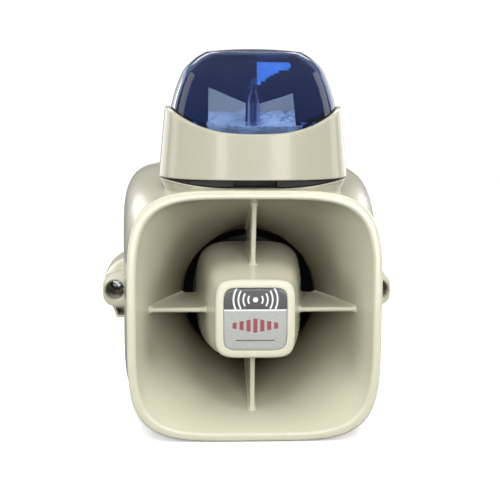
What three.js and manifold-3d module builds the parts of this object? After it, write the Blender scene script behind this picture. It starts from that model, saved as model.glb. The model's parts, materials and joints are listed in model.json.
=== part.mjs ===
// Outdoor alarm siren with a strobe light: a square re-entrant horn in a box housing that screws to a
// wall plate, and a blue-lensed xenon strobe in a collar on top of the housing.
//
// Units are millimetres. +Z is up, the horn looks along -Y, and the wall is the plane Y = 0. The origin
// is the point of the wall face on the horn's axis.

import * as THREE from "three";
import { mergeVertices } from "three/addons/utils/BufferGeometryUtils.js";
import Module from "manifold-3d";

const wasm = await Module();
wasm.setup();

// ---------------------------------------------------------------- driving dimensions

const WALL = 2.2; // moulded wall
const GAP = 0.3; // between pieces that touch
const ROUND = 36; // points round a large section
const CORNER_BIAS = 0.1; // draws those points towards the corners

const MOUTH_Y = -118; // front plane of the horn's rim
const MOUTH_HALF = 63; // outer half width and half height of the mouth
const MOUTH_POWER = 4.6; // superellipse power of the mouth
const RIM_WIDTH = 4.2;
const RIM_BACK_Y = -111.5;
const THROAT_Y = -54; // where the flare becomes a round throat
const THROAT_R = 35.3;
const THROAT_FLANGE_R = 42;
const THROAT_FLANGE_Y = -50.3; // back of the bell

const BOSS_Y = -121; // face of the cup in the middle of the mouth
const BOSS_HALF = 19.5;
const CUP_BACK_Y = -50;
const CUP_BACK_HALF = 28.2;
const CUP_POWER_FRONT = 5.5;
const CUP_POWER_BACK = 4;
const LABEL_HALF = 15.4;
const LABEL_POWER = 7;
const LABEL_POCKET = 1;

const RIB_THICK = 2.4;
const RIB_FRONT_Y = -98;
const POST_AT = 45; // horn screw posts, from the axis in X and Z
const POST_R = 4.2;
const PAD_FRONT_Y = -66; // housing pads that the horn posts meet
const PAD_THICK = 2.5;

const HOUSING_FRONT_Y = RIM_BACK_Y + GAP;
const HOUSING_BACK_Y = -5;
const PLATE_FRONT_Y = -3.4; // front face of the wall plate

const EAR_X = 72; // ear screw axis
const EAR_FRONT_Y = -43;
const EAR_BORE_R = 5.1; // counterbore
const EAR_BORE_END_Y = -17;
const EAR_HOLE_R = 2.3;

const STROBE_Y = -88; // middle of the strobe
const COLLAR_BOTTOM_Z = 67.6;
const COLLAR_SIDE_Z = 103.2; // top of the collar at its two sides
const COLLAR_DIP_Z = 89.9; // top of the collar at its front and back
const COLLAR_A = 47.4; // half width and half depth at the bottom
const COLLAR_B = 28;
const COLLAR_DRAFT = 3.3; // taken off the half width and half depth by the top
const COLLAR_POWER = 2.6;
const COLLAR_WALL = 2.4;
const COLLAR_FLOOR_Z = 70; // top of the collar's floor
const SADDLE_POWER = 2.7; // how sharply its top edge turns up towards the sides
const DECK_Z = 67.3; // top of the pedestal at its two sides
const SCOOP_Z = 63.1; // floor of the valley under the collar
const SCOOP_FLAT = 22; // half width of that floor
const SCOOP_EDGE = 46; // where the valley's slopes reach the deck

const SEAT_FRONT_Y = -110.2; // front of the seal in that valley
const DRAIN_HALF = 10.8; // half width of the seal's drain notch

const LENS_BASE_Z = 73.4;
const LENS_WALL = 2;
const COLLAR_SCREW_X = 30;
const STROBE_LEAD_X = 16;
const STROBE_BOARD_Z = 72.6;
const TRAY_Z = 87.2; // strobe reflector's floor

const BOARD_Z = -52; // underside of the siren's circuit board
const BOARD_TOP_Z = -50.4;
const GROMMET = { x: -30, z: -34, r: 7 };
const TAMPER = { x: 26, z: -44.5, r: 1.6 };
const TAMPER_OUT = 3; // how far the released plunger stands out of the wall face
const DRIVER_FRONT_Y = -33.2; // back of the horn bowl's floor
const LUG_AT = 33; // driver screw circle
const BOWL_SCREW_AT = 39.9; // bowl screw circle

// ---------------------------------------------------------------- materials

const finish = (color, roughness, metalness = 0, extra = {}) =>
  new THREE.MeshStandardMaterial({ color, roughness, metalness, ...extra });

const ivory = finish(0xd7d5c4, 0.35);
const blueLens = finish(0x1f4f9e, 0.05, 0, { transparent: true, opacity: 0.5 });
const clearGlass = finish(0xdfe8f2, 0.03, 0, { transparent: true, opacity: 0.4 });
const blackRubber = finish(0x161616, 0.8);
const blackPlastic = finish(0x1b1b1d, 0.5);
const polished = finish(0xdfe2e6, 0.08, 1);
const steel = finish(0xa9acb0, 0.3, 1);
const copper = finish(0xb5653a, 0.35, 1);
const ferrite = finish(0x2b2b2e, 0.75);
const labelFoil = finish(0x8c8f8a, 0.4);
const boardGreen = finish(0x1f5a34, 0.5);
const canBlue = finish(0x23304f, 0.35);
const filmAmber = finish(0xb58a4e, 0.45);
const paleNylon = finish(0xe6e3d6, 0.5);

// ---------------------------------------------------------------- solids

// A closed mesh as a solid, turned so that its faces point out.
function solid(geometry) {
  const bare = geometry.index ? geometry.toNonIndexed() : geometry.clone();
  const only = new THREE.BufferGeometry().setAttribute("position", bare.getAttribute("position"));
  const merged = mergeVertices(only, 1e-4);
  const triVerts = new Uint32Array(merged.index.array);
  if (signedVolume(merged) < 0) {
    for (let i = 0; i < triVerts.length; i += 3) {
      [triVerts[i + 1], triVerts[i + 2]] = [triVerts[i + 2], triVerts[i + 1]];
    }
  }
  const vertProperties = merged.getAttribute("position").array;
  return new wasm.Manifold(new wasm.Mesh({ numProp: 3, vertProperties, triVerts }));
}

function signedVolume(geometry) {
  const position = geometry.getAttribute("position");
  const index = geometry.index.array;
  const [a, b, c] = [new THREE.Vector3(), new THREE.Vector3(), new THREE.Vector3()];
  let total = 0;
  for (let i = 0; i < index.length; i += 3) {
    a.fromBufferAttribute(position, index[i]);
    b.fromBufferAttribute(position, index[i + 1]);
    c.fromBufferAttribute(position, index[i + 2]);
    total += a.dot(b.cross(c)) / 6;
  }
  return total;
}

function geometryOf(manifold) {
  const { numProp, vertProperties, triVerts, numVert } = manifold.getMesh();
  const position = new Float32Array(numVert * 3);
  for (let i = 0; i < numVert; i++) {
    position.set(vertProperties.subarray(i * numProp, i * numProp + 3), i * 3);
  }
  const geometry = new THREE.BufferGeometry();
  geometry.setAttribute("position", new THREE.BufferAttribute(position, 3));
  geometry.setIndex(new THREE.BufferAttribute(new Uint32Array(triVerts), 1));
  geometry.computeVertexNormals();
  return geometry;
}

// Three spots a third of a turn apart on a circle of radius r about the horn's axis.
const thirds = (r) => [90, 210, 330].map((degrees) => {
  const a = THREE.MathUtils.degToRad(degrees);
  return [r * Math.cos(a), r * Math.sin(a)];
});

const joined = (solids) => solids.reduce((whole, next) => whole.add(next));

// A superellipse section as [u, v] pairs, with the same polar angles whatever its size or power.
function section(a, b, power, count = ROUND) {
  return Array.from({ length: count }, (_, i) => {
    const turn = (2 * Math.PI * i) / count;
    const angle = turn + CORNER_BIAS * Math.sin(4 * turn);
    const [c, s] = [Math.cos(angle), Math.sin(angle)];
    const r = ((Math.abs(c) / a) ** power + (Math.abs(s) / b) ** power) ** (-1 / power);
    return [r * c, r * s];
  });
}

// Skins rings of points. A looped skin joins its last ring to its first, and any other is capped.
function skin(rings, looped) {
  const count = rings[0].length;
  const points = rings.flat();
  const faces = [];
  const bands = looped ? rings.length : rings.length - 1;
  for (let k = 0; k < bands; k++) {
    const [near, far] = [k * count, ((k + 1) % rings.length) * count];
    for (let i = 0; i < count; i++) {
      const j = (i + 1) % count;
      faces.push(near + i, near + j, far + j, near + i, far + j, far + i);
    }
  }
  if (!looped) {
    for (const [ring, flip] of [[0, true], [rings.length - 1, false]]) {
      const middle = new THREE.Vector3();
      rings[ring].forEach((p) => middle.addScaledVector(p, 1 / count));
      points.push(middle);
      for (let i = 0; i < count; i++) {
        const [p, q] = [ring * count + i, ring * count + ((i + 1) % count)];
        faces.push(points.length - 1, flip ? q : p, flip ? p : q);
      }
    }
  }
  const geometry = new THREE.BufferGeometry().setFromPoints(points);
  geometry.setIndex(faces);
  return solid(geometry);
}

// Sections across the horn's axis: each station is {y, a, b, power, z}, with z the section's middle.
const alongY = (stations, looped = false, count = ROUND) =>
  skin(stations.map(({ y, a, b = a, power, z = 0 }) =>
    section(a, b, power, count).map(([u, v]) => new THREE.Vector3(u, y, v + z))), looped);

// Level sections round the strobe's upright axis: each station is {z, a, b, power}.
const alongZ = (stations, looped = false, count = 30) =>
  skin(stations.map(({ z, a, b, power = COLLAR_POWER }) =>
    section(a, b, power, count).map(([u, v]) => new THREE.Vector3(u, v + STROBE_Y, z))), looped);

function block(x0, x1, y0, y1, z0, z1) {
  const geometry = new THREE.BoxGeometry(x1 - x0, y1 - y0, z1 - z0);
  return solid(geometry.translate((x0 + x1) / 2, (y0 + y1) / 2, (z0 + z1) / 2));
}

// A cylinder along Y at (x, z), or along Z at (x, y), or along X at (y, z).
function rodY(r, x, z, y0, y1, count = 16) {
  return solid(new THREE.CylinderGeometry(r, r, y1 - y0, count).translate(x, (y0 + y1) / 2, z));
}

function rodZ(r, x, y, z0, z1, count = 16) {
  const geometry = new THREE.CylinderGeometry(r, r, z1 - z0, count).rotateX(Math.PI / 2);
  return solid(geometry.translate(x, y, (z0 + z1) / 2));
}

function rodX(r, y, z, x0, x1, count = 16) {
  const geometry = new THREE.CylinderGeometry(r, r, x1 - x0, count).rotateZ(Math.PI / 2);
  return solid(geometry.translate((x0 + x1) / 2, y, z));
}

// A body turned round the horn's axis from [radius, y] pairs. The profile closes on itself.
function turnedY(profile, count = 28) {
  const points = [...profile, profile[0]].map(([r, y]) => new THREE.Vector2(r, y));
  return solid(new THREE.LatheGeometry(points, count));
}

// A body turned round an upright axis at (x, y) from [radius, z] pairs.
function turnedZ(profile, x, y, count = 16) {
  const points = [...profile, profile[0]].map(([r, z]) => new THREE.Vector2(r, z));
  return solid(new THREE.LatheGeometry(points, count).rotateX(Math.PI / 2).translate(x, y, 0));
}

// An outline of [x, z] pairs extruded from y0 to y1.
function prismY(outline, y0, y1) {
  const shape = new THREE.Shape(outline.map(([x, z]) => new THREE.Vector2(x, z)));
  const geometry = new THREE.ExtrudeGeometry(shape, { depth: y1 - y0, bevelEnabled: false });
  return solid(geometry.rotateX(Math.PI / 2).translate(0, y1, 0));
}

// A round bar along a curve, with an even number of sides.
function bar(curve, r, steps, sides = 8) {
  const shape = new THREE.Shape();
  shape.absarc(0, 0, r, 0, 2 * Math.PI);
  const geometry = new THREE.ExtrudeGeometry(shape, {
    steps, extrudePath: curve, curveSegments: sides / 2, bevelEnabled: false,
  });
  return solid(geometry);
}

const through = (points) => new THREE.CatmullRomCurve3(points.map((p) => new THREE.Vector3(...p)));
const mirrored = (made) => made.mirror([1, 0, 0]);

const object = new THREE.Group();

function place(name, made, material) {
  const mesh = new THREE.Mesh(geometryOf(made), material);
  mesh.name = name;
  object.add(mesh);
}

// ---------------------------------------------------------------- horn

// What make([x, z]) gives at each of the horn's four screw posts, as one solid.
const corners = (make) =>
  joined([-1, 1].flatMap((sx) => [-1, 1].map((sz) => make([sx * POST_AT, sz * POST_AT]))));

// The flare's inner surface at share s of its length: square at the mouth, round at the throat.
function flare(s, grow = 0) {
  const start = MOUTH_Y + 1;
  const mouth = MOUTH_HALF - RIM_WIDTH;
  return {
    y: start + (THROAT_Y - start) * s,
    a: mouth - (mouth - THROAT_R) * (0.8 * s + 0.2 * s * s) + grow,
    power: 2 + (MOUTH_POWER - 2) * (1 - s) ** 1.4,
  };
}

const FLARE_STEPS = [0, 0.12, 0.28, 0.44, 0.6, 0.75, 0.88, 1];

function cup() {
  const middle = (y, half, power) => ({ y, a: half, power });
  const outer = alongY([
    middle(BOSS_Y, BOSS_HALF - 0.7, CUP_POWER_FRONT),
    middle(BOSS_Y + 0.8, BOSS_HALF, CUP_POWER_FRONT),
    middle(RIB_FRONT_Y, 23.2, 4.8),
    middle(-76, 26.2, 4.3),
    middle(CUP_BACK_Y, CUP_BACK_HALF, CUP_POWER_BACK),
  ]);
  const inner = alongY([
    middle(BOSS_Y + 3, BOSS_HALF - WALL, CUP_POWER_FRONT),
    middle(RIB_FRONT_Y, 23.2 - WALL, 4.8),
    middle(-76, 26.2 - WALL, 4.3),
    middle(CUP_BACK_Y + 1, CUP_BACK_HALF - WALL, CUP_POWER_BACK),
  ]);
  const pocket = alongY([
    middle(BOSS_Y - 1, LABEL_HALF + GAP, LABEL_POWER),
    middle(BOSS_Y + LABEL_POCKET, LABEL_HALF + GAP, LABEL_POWER),
  ]);
  return { outer, hollow: inner.add(pocket) };
}

function hornBell() {
  const power = MOUTH_POWER;
  const rim = [
    { y: RIM_BACK_Y, a: MOUTH_HALF - RIM_WIDTH + 0.9, power },
    { y: RIM_BACK_Y, a: MOUTH_HALF, power },
    { y: MOUTH_Y + 1.2, a: MOUTH_HALF, power },
    { y: MOUTH_Y, a: MOUTH_HALF - 1.2, power },
    { y: MOUTH_Y, a: MOUTH_HALF - RIM_WIDTH + 1, power },
  ];
  const inside = FLARE_STEPS.map((s) => flare(s));
  const throat = [
    { y: THROAT_FLANGE_Y, a: THROAT_R, power: 2 },
    { y: THROAT_FLANGE_Y, a: THROAT_FLANGE_R, power: 2 },
    { y: THROAT_FLANGE_Y - 2.7, a: THROAT_FLANGE_R, power: 2 },
  ];
  const outside = FLARE_STEPS.slice(1, -1).reverse().map((s) => flare(s, WALL + 0.2));
  const behindFlare = { ...flare(1, WALL + 0.2), y: -53.2 };
  const shell = alongY([...rim, ...inside, ...throat, behindFlare, ...outside], true);

  const flareAir = alongY(FLARE_STEPS.map((s) => flare(s, 0.4)));
  const posts = corners(([x, z]) => rodY(POST_R, x, z, RIM_BACK_Y, PAD_FRONT_Y - GAP, 14));
  const screwHoles = corners(([x, z]) => rodY(1.6, x, z, -80, PAD_FRONT_Y + 1, 8));
  const flangeHoles = joined(thirds(BOWL_SCREW_AT).map(([x, z]) => rodY(1.3, x, z, -52.4, -49, 8)));
  return shell.add(posts.subtract(flareAir)).subtract(screwHoles).subtract(flangeHoles);
}

place("horn_bell", hornBell(), ivory);

// The cup that turns the sound back, held in the middle of the bell by four ribs.
function hornCup() {
  const { outer, hollow } = cup();
  const half = RIB_THICK / 2;
  const air = alongY(FLARE_STEPS.map((s) => flare(s, -GAP)));
  const ribs = block(-half, half, RIB_FRONT_Y, THROAT_Y - 1, -60, 60)
    .add(block(-60, 60, RIB_FRONT_Y, THROAT_Y - 1, -half, half));
  return ribs.intersect(air).add(outer).subtract(hollow);
}

place("horn_cup", hornCup(), ivory);

place("label_plate", alongY([
  { y: BOSS_Y + 0.2, a: LABEL_HALF, power: LABEL_POWER },
  { y: BOSS_Y + LABEL_POCKET - 0.1, a: LABEL_HALF, power: LABEL_POWER },
], false, 32), labelFoil);

// The bowl behind the throat, which turns the sound forward again and carries the driver.
const bowlHoles = joined(thirds(BOWL_SCREW_AT).map(([x, z]) => rodY(1.3, x, z, -51, -46, 8)));
const lugPilots = joined(thirds(LUG_AT).map(([x, z]) => rodY(1.4, x, z, -36.6, -33, 8)));
place("horn_bowl", turnedY([
  [THROAT_FLANGE_R, -50], [THROAT_FLANGE_R, -47.5], [37.8, -47.5], [37.8, -37], [36, DRIVER_FRONT_Y - GAP],
  [13.5, DRIVER_FRONT_Y - GAP], [13.5, -36], [29.5, -36], [THROAT_R, -40.5], [THROAT_R, -50],
], ROUND).subtract(bowlHoles).subtract(lugPilots), blackPlastic);

place("tone_tube", turnedY([
  [22, -38.5], [22, -36.3], [6.5, -36.3], [6.5, -60], [8.6, -90], [10.4, -106], [12.4, -106], [10.6, -90],
  [8.6, -60], [8.6, -38.5],
], 20), blackPlastic);

// ---------------------------------------------------------------- driver

place("driver_gasket", turnedY([[15, -33.2], [30, -33.2], [30, -32.4], [15, -32.4]], 28), blackRubber);

const lugs = joined(thirds(LUG_AT).map(([x, z]) => rodY(3.2, x, z, -32.1, -28.1, 14)));
const lugHoles = joined(thirds(LUG_AT).map(([x, z]) => rodY(1.4, x, z, -36.5, -27, 8)));
place("driver_frame", turnedY([
  [25, -32.1], [30, -32.1], [30, -25.3], [20.5, -25.3], [20.5, -27.4], [25, -27.4],
], 28).add(lugs).subtract(lugHoles), blackPlastic);

place("diaphragm_surround", turnedY([
  [20.1, -28], [22.4, -29.3], [24.7, -28], [24.7, -27.7], [22.4, -29], [20.1, -27.7],
], 24), blackRubber);

place("phase_plug", turnedY([
  [0, -35.6], [2.4, -34.6], [4.6, -32], [12.2, -31.6], [12.2, -30.6], [0, -30.6],
], 20), paleNylon);

place("diaphragm", turnedY([
  [0, -29.8], [6, -29.5], [12.2, -28.3], [13.2, -27.9], [17, -28.7], [19.8, -28.1], [19.8, -27.9],
  [17, -28.4], [13.2, -27.6], [12.2, -28], [6, -29.2], [0, -29.5],
], 24), filmAmber);

place("voice_coil", turnedY([[12.5, -27.3], [13.1, -27.3], [13.1, -19.8], [12.5, -19.8]], 28), copper);

place("top_plate", turnedY([[14, -25], [27, -25], [27, -21.4], [14, -21.4]], 28), steel);

place("magnet_ring", turnedY([[17, -21.1], [30, -21.1], [30, -12.1], [17, -12.1]], 28), ferrite);

place("pole_yoke", turnedY([
  [0, -25.2], [11.6, -25.2], [11.6, -11.8], [27, -11.8], [27, -8], [0, -8],
], 28), steel);

// Pan-head screws along Y: the head is at the front of frontHead ones, and at the back of the others.
function screwY(x, z, headR, headT, shankR, y0, y1, frontHead) {
  const neck = frontHead ? y0 + headT : y1 - headT;
  const head = frontHead ? rodY(headR, x, z, y0, neck, 14) : rodY(headR, x, z, neck, y1, 14);
  const shank = frontHead ? rodY(shankR, x, z, neck - 0.5, y1, 10) : rodY(shankR, x, z, y0, neck + 0.5, 10);
  return head.add(shank);
}

thirds(LUG_AT).forEach(([x, z], i) =>
  place(`driver_screw_${i + 1}`, screwY(x, z, 2.3, 1.6, 1.1, -36.2, -26.2, false), steel));

thirds(BOWL_SCREW_AT).forEach(([x, z], i) =>
  place(`bowl_screw_${i + 1}`, screwY(x, z, 1.8, 1.4, 1, -52.1, -45.8, false), steel));

[1, 2, 3, 4].forEach((n) => {
  const [sx, sz] = [n % 2 ? -1 : 1, n < 3 ? 1 : -1];
  place(`horn_screw_${n}`,
    screwY(sx * POST_AT, sz * POST_AT, 3.4, 2, 1.4, -78, PAD_FRONT_Y + PAD_THICK + GAP + 2, false), steel);
});

// ---------------------------------------------------------------- housing

// The housing's section at y: a box that grows and squares up towards the wall.
const HOUSING_STATIONS = [
  { y: HOUSING_FRONT_Y, a: 62.1, top: 62.1, bottom: -62.1, power: 4.6 },
  { y: -100, a: 63.1, top: 63.1, bottom: -62.3, power: 4.9 },
  { y: -70, a: 65.8, top: 65.6, bottom: -62.6, power: 5.8 },
  { y: -32, a: 67.6, top: 67.3, bottom: -62.8, power: 7 },
  { y: -9, a: 67.6, top: 67.3, bottom: -62.8, power: 7 },
  { y: HOUSING_BACK_Y, a: 66.4, top: 66.1, bottom: -61.6, power: 7 },
];

// That section taken in by inset, as a station for alongY.
const housingRing = ({ y, a, top, bottom, power }, inset) =>
  ({ y, a: a - inset, b: (top - bottom) / 2 - inset, z: (top + bottom) / 2, power });

// The pedestal under the strobe, taken in by inset and cut off flush with the housing's front.
function pedestal(inset) {
  return alongZ([
    { z: 45, a: 38 - inset, b: 24 - inset },
    { z: 58, a: 42.8 - inset, b: 26.3 - inset },
    { z: DECK_Z, a: COLLAR_A - 0.4 - inset, b: COLLAR_B - 0.4 - inset },
  ]).intersect(block(-60, 60, HOUSING_FRONT_Y + inset, -50, 40, 80));
}

// The space over the valley's slopes and floor, lowered by drop, in the collar's plan and in front of it.
function valley(drop) {
  const outline = [
    [-SCOOP_EDGE - 6, 80], [-SCOOP_EDGE - 6, DECK_Z + 1.05 - drop], [-SCOOP_EDGE, DECK_Z - drop],
    [-SCOOP_FLAT, SCOOP_Z - drop], [SCOOP_FLAT, SCOOP_Z - drop], [SCOOP_EDGE, DECK_Z - drop],
    [SCOOP_EDGE + 6, DECK_Z + 1.05 - drop], [SCOOP_EDGE + 6, 80],
  ];
  const edge = { a: COLLAR_A + 1, b: COLLAR_B + 1 };
  const plan = alongZ([{ z: 40, ...edge }, { z: 90, ...edge }]);
  return prismY(outline, -130, -40).intersect(plan);
}

// The right-hand ear: a boss for the long screw, a round shoulder over it and a hollow lip below it.
function ear() {
  const boss = prismY([
    [58, 10.9], [71, 9.4], [76.2, 7.9], [78.4, 5], [79, 0], [78.4, -5], [76.2, -7.6], [73, -9], [58, -9],
  ], EAR_FRONT_Y, HOUSING_BACK_Y);
  const shoulder = rodY(17, 61.8, 0, EAR_FRONT_Y + 8, HOUSING_BACK_Y, 28)
    .intersect(block(55, 80, -60, 0, 0, 30));
  const lip = prismY([[58, -8.5], [74, -8.5], [71.6, -15.8], [58, -15.8]], EAR_FRONT_Y + 4, HOUSING_BACK_Y);
  const lipPocket = prismY([[60, -10.4], [71.8, -10.4], [70.2, -14.4], [60, -14.4]], -60, -25);
  const bores = rodY(EAR_BORE_R, EAR_X, 0, EAR_FRONT_Y - 1, EAR_BORE_END_Y, 24)
    .add(rodY(EAR_HOLE_R, EAR_X, 0, EAR_BORE_END_Y - 1, 0, 12));
  const inside = alongY(HOUSING_STATIONS.map((s) => housingRing(s, -GAP)));
  return boss.add(shoulder).add(lip.subtract(lipPocket)).subtract(bores).subtract(inside);
}

// Corner pads inside the housing, each with a hole for a horn screw.
function pads(inside) {
  const corners = [-1, 1].flatMap((sx) => [-1, 1].map((sz) => {
    const [x0, x1] = sx > 0 ? [38, 70] : [-70, -38];
    const [z0, z1] = sz > 0 ? [38, 70] : [-70, -38];
    return block(x0, x1, PAD_FRONT_Y, PAD_FRONT_Y + PAD_THICK, z0, z1)
      .subtract(rodY(1.8, sx * POST_AT, sz * POST_AT, -70, -60, 8));
  }));
  return joined(corners).intersect(inside);
}

const BOARD_POSTS = [[-40, -40], [40, -14], [40, -40], [-40, -14]];
const BOARD_SCREWS = BOARD_POSTS.slice(0, 2); // the other two posts locate the board with pins

function housing() {
  const shellOf = (inset) => alongY(HOUSING_STATIONS.map((s) => housingRing(s, inset)));
  const ends = [{ ...HOUSING_STATIONS[0], y: HOUSING_FRONT_Y - 5 }, { ...HOUSING_STATIONS.at(-1), y: 1 }];
  const inner = alongY([ends[0], ...HOUSING_STATIONS.slice(1, -1), ends[1]].map((s) => housingRing(s, WALL)));
  const slab = valley(WALL).intersect(pedestal(0));
  const hollow = inner.add(pedestal(WALL)).subtract(slab);
  const standoffs = joined(BOARD_POSTS.map(([x, y]) => rodZ(3, x, y, -61.5, BOARD_Z - GAP, 12)))
    .add(joined(BOARD_POSTS.slice(2).map(([x, y]) => rodZ(1.1, x, y, -53, BOARD_TOP_Z + 0.6, 8))))
    .subtract(joined(BOARD_SCREWS.map(([x, y]) => rodZ(1.2, x, y, -58, BOARD_Z, 8))));
  const deckHoles = [-1, 1].map((side) => rodZ(1.8, side * COLLAR_SCREW_X, STROBE_Y, 50, 75, 8));
  const leadHole = rodZ(3.4, STROBE_LEAD_X, STROBE_Y, 50, 75, 12);
  return shellOf(0)
    .add(pedestal(0))
    .subtract(valley(0))
    .subtract(hollow)
    .add(pads(shellOf(WALL - 0.6)))
    .add(standoffs)
    .subtract(joined([...deckHoles, leadHole]));
}

place("housing", housing(), ivory);
place("ear_right", ear(), ivory);
place("ear_left", mirrored(ear()), ivory);

// ---------------------------------------------------------------- wall plate

function earLobe() {
  const lobe = rodY(9, EAR_X - 2.6, 0, PLATE_FRONT_Y, 0, 24).add(block(50, EAR_X, PLATE_FRONT_Y, 0, -9, 9));
  return lobe.subtract(rodY(2.2, EAR_X, 0, -6, -1, 12));
}

function wallPlate() {
  const edge = HOUSING_STATIONS.at(-2);
  const plate = alongY([
    housingRing({ ...edge, y: PLATE_FRONT_Y }, 0.2),
    housingRing({ ...edge, y: -1 }, 0.2),
    housingRing({ ...edge, y: 0 }, 1.2),
  ]);
  const lip = WALL + 1.5;
  const locator = alongY([
    housingRing({ ...edge, y: -9 }, lip), housingRing({ ...edge, y: PLATE_FRONT_Y + 1 }, lip),
    housingRing({ ...edge, y: PLATE_FRONT_Y + 1 }, lip + 1.8), housingRing({ ...edge, y: -9 }, lip + 1.8),
  ], true);
  const wallHoles = [[0, 52], [-50, -44], [50, -44]].map(([x, z]) => rodY(2.6, x, z, -10, 1, 14));
  const lobe = earLobe();
  return plate
    .add(locator)
    .add(lobe)
    .add(mirrored(lobe))
    .subtract(joined(wallHoles))
    .subtract(rodY(GROMMET.r, GROMMET.x, GROMMET.z, -10, 1, 20))
    .subtract(rodY(TAMPER.r + 0.5, TAMPER.x, TAMPER.z, -10, 1, 12));
}

place("wall_plate", wallPlate(), ivory);

const edgeRing = (y, inset) => housingRing({ ...HOUSING_STATIONS.at(-1), y }, inset);
place("housing_gasket", alongY([
  edgeRing(-4.7, 0.3), edgeRing(-3.7, 0.3), edgeRing(-3.7, WALL - 0.2), edgeRing(-4.7, WALL - 0.2),
], true), blackRubber);

["left", "right"].forEach((side, i) => {
  const x = (2 * i - 1) * EAR_X;
  place(`ear_screw_${side}`, screwY(x, 0, 4.3, 3, 1.9, EAR_BORE_END_Y - 3.3, -1.4, true), steel);
});

place("cable_grommet", turnedY([
  [4, -6.8], [4, -0.2], [GROMMET.r - 0.3, -0.2], [GROMMET.r - 0.3, PLATE_FRONT_Y - 0.3],
  [GROMMET.r + 2, PLATE_FRONT_Y - 0.3], [GROMMET.r + 1, -6.8],
], 20).translate([GROMMET.x, 0, GROMMET.z]), blackRubber);

// ---------------------------------------------------------------- siren circuit

function circuitBoard() {
  const holes = BOARD_POSTS.map(([x, y]) => rodZ(1.5, x, y, BOARD_Z - 1, BOARD_TOP_Z + 1, 8));
  return block(-45, 45, -46, -9.5, BOARD_Z, BOARD_TOP_Z).subtract(joined(holes));
}

place("circuit_board", circuitBoard(), boardGreen);

BOARD_SCREWS.forEach(([x, y], i) => {
  const head = rodZ(2.4, x, y, BOARD_TOP_Z + 0.1, BOARD_TOP_Z + 1.7, 12);
  place(`board_screw_${i + 1}`, head.add(rodZ(1, x, y, -57.5, BOARD_TOP_Z + 0.5, 8)), steel);
});

const ON_BOARD_Z = BOARD_TOP_Z + 0.1;
[-33, 34].forEach((x, i) => place(`power_capacitor_${i + 1}`, turnedZ([
  [0, ON_BOARD_Z], [4.6, ON_BOARD_Z], [5, ON_BOARD_Z + 1], [4.6, ON_BOARD_Z + 2], [5, ON_BOARD_Z + 3],
  [5, -34.5], [4.5, -34], [0, -34],
], x, -30, 16), canBlue));

place("driver_transformer", block(-9, 9, -24, -12, ON_BOARD_Z, -37)
  .add(block(-6.5, 6.5, -27, -9.8, ON_BOARD_Z + 1, -39)), ferrite);

place("terminal_block", block(-37, -13, -20, -10.5, ON_BOARD_Z, -42)
  .subtract(joined([-33.5, -28, -22.5, -17].map((x) => rodZ(1.7, x, -15, -46, -41, 10)))), boardGreen);

place("heat_sink", block(-24, -4, -44.5, -42.5, ON_BOARD_Z, -45)
  .add(block(-24, -4, -44.5, -38, ON_BOARD_Z, -49)),
  steel);

place("power_transistor", block(-19, -9, -37.5, -33.5, ON_BOARD_Z, -45.5), blackPlastic);

place("driver_lead", bar(through([
  [31.3, -29.5, -4], [35.5, -27, -14], [37, -23, -30], [38, -20, -44], [38, -20, ON_BOARD_Z + 0.1],
]), 0.9, 14), blackRubber);

// ---------------------------------------------------------------- tamper switch

const { x: tx, z: tz, r: tr } = TAMPER;
place("tamper_switch", block(tx - 5.5, tx + 5.5, -23, -11, ON_BOARD_Z, tz + 5)
  .subtract(rodY(tr + 0.3, tx, tz, -20.5, -10, 12)), blackPlastic);

place("tamper_spring", bar(through(Array.from({ length: 37 }, (_, i) => {
  const turn = (2 * Math.PI * i) / 8;
  return [tx + 1.2 * Math.cos(turn), -20.1 + (4.6 * i) / 36, tz + 1.2 * Math.sin(turn)];
})), 0.2, 36, 6), steel);

place("tamper_plunger", rodY(tr, tx, tz, -12.3, TAMPER_OUT, 12)
  .add(rodY(2.6, tx, tz, PLATE_FRONT_Y - GAP - 1, PLATE_FRONT_Y - GAP, 14)), paleNylon);

// ---------------------------------------------------------------- strobe

// Height of the collar's top edge at x: low in the middle, turning up towards the sides.
const saddle = (x) =>
  COLLAR_DIP_Z + (COLLAR_SIDE_Z - COLLAR_DIP_Z) * Math.min(1, Math.abs(x) / (COLLAR_A - 2)) ** SADDLE_POWER;

const collarPlan = (z, inset) => {
  const draft = (COLLAR_DRAFT * (z - COLLAR_BOTTOM_Z)) / (COLLAR_SIDE_Z - COLLAR_BOTTOM_Z);
  return { z, a: COLLAR_A - draft - inset, b: COLLAR_B - draft - inset };
};

const STROBE_STANDOFFS = [[-14, -11], [14, -11], [-14, 11], [14, 11]];

function strobeCollar() {
  const outer = alongZ([collarPlan(COLLAR_BOTTOM_Z, 0), collarPlan(COLLAR_SIDE_Z + 3, 0)]);
  const inner = alongZ([collarPlan(COLLAR_FLOOR_Z, COLLAR_WALL), collarPlan(COLLAR_SIDE_Z + 6, COLLAR_WALL)]);
  const xs = [-60, -46, -42, -37, -31, -24, -15, 0, 15, 24, 31, 37, 42, 46, 60];
  const above = prismY([...xs.map((x) => [x, saddle(x)]), [60, 130], [-60, 130]], -130, -40);
  const posts = [-1, 1].map((side) => side * COLLAR_SCREW_X).map((x) =>
    rodZ(3.6, x, STROBE_Y, COLLAR_FLOOR_Z - 1, 80, 14)
      .add(rodZ(4, x, STROBE_Y, 65.4, COLLAR_BOTTOM_Z + 1, 14)));
  const pilots = [-1, 1].map((side) => rodZ(1.2, side * COLLAR_SCREW_X, STROBE_Y, 60, 76, 8));
  const standoffs = STROBE_STANDOFFS.map(([x, y]) =>
    rodZ(1.8, x, STROBE_Y + y, COLLAR_FLOOR_Z - 1, STROBE_BOARD_Z - GAP, 8));
  const leadHole = rodZ(3.2, STROBE_LEAD_X, STROBE_Y, 60, 75, 12);
  return outer.subtract(inner).subtract(above).add(joined([...posts, ...standoffs]))
    .subtract(joined([...pilots, leadHole]));
}

place("strobe_collar", strobeCollar(), ivory);

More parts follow.
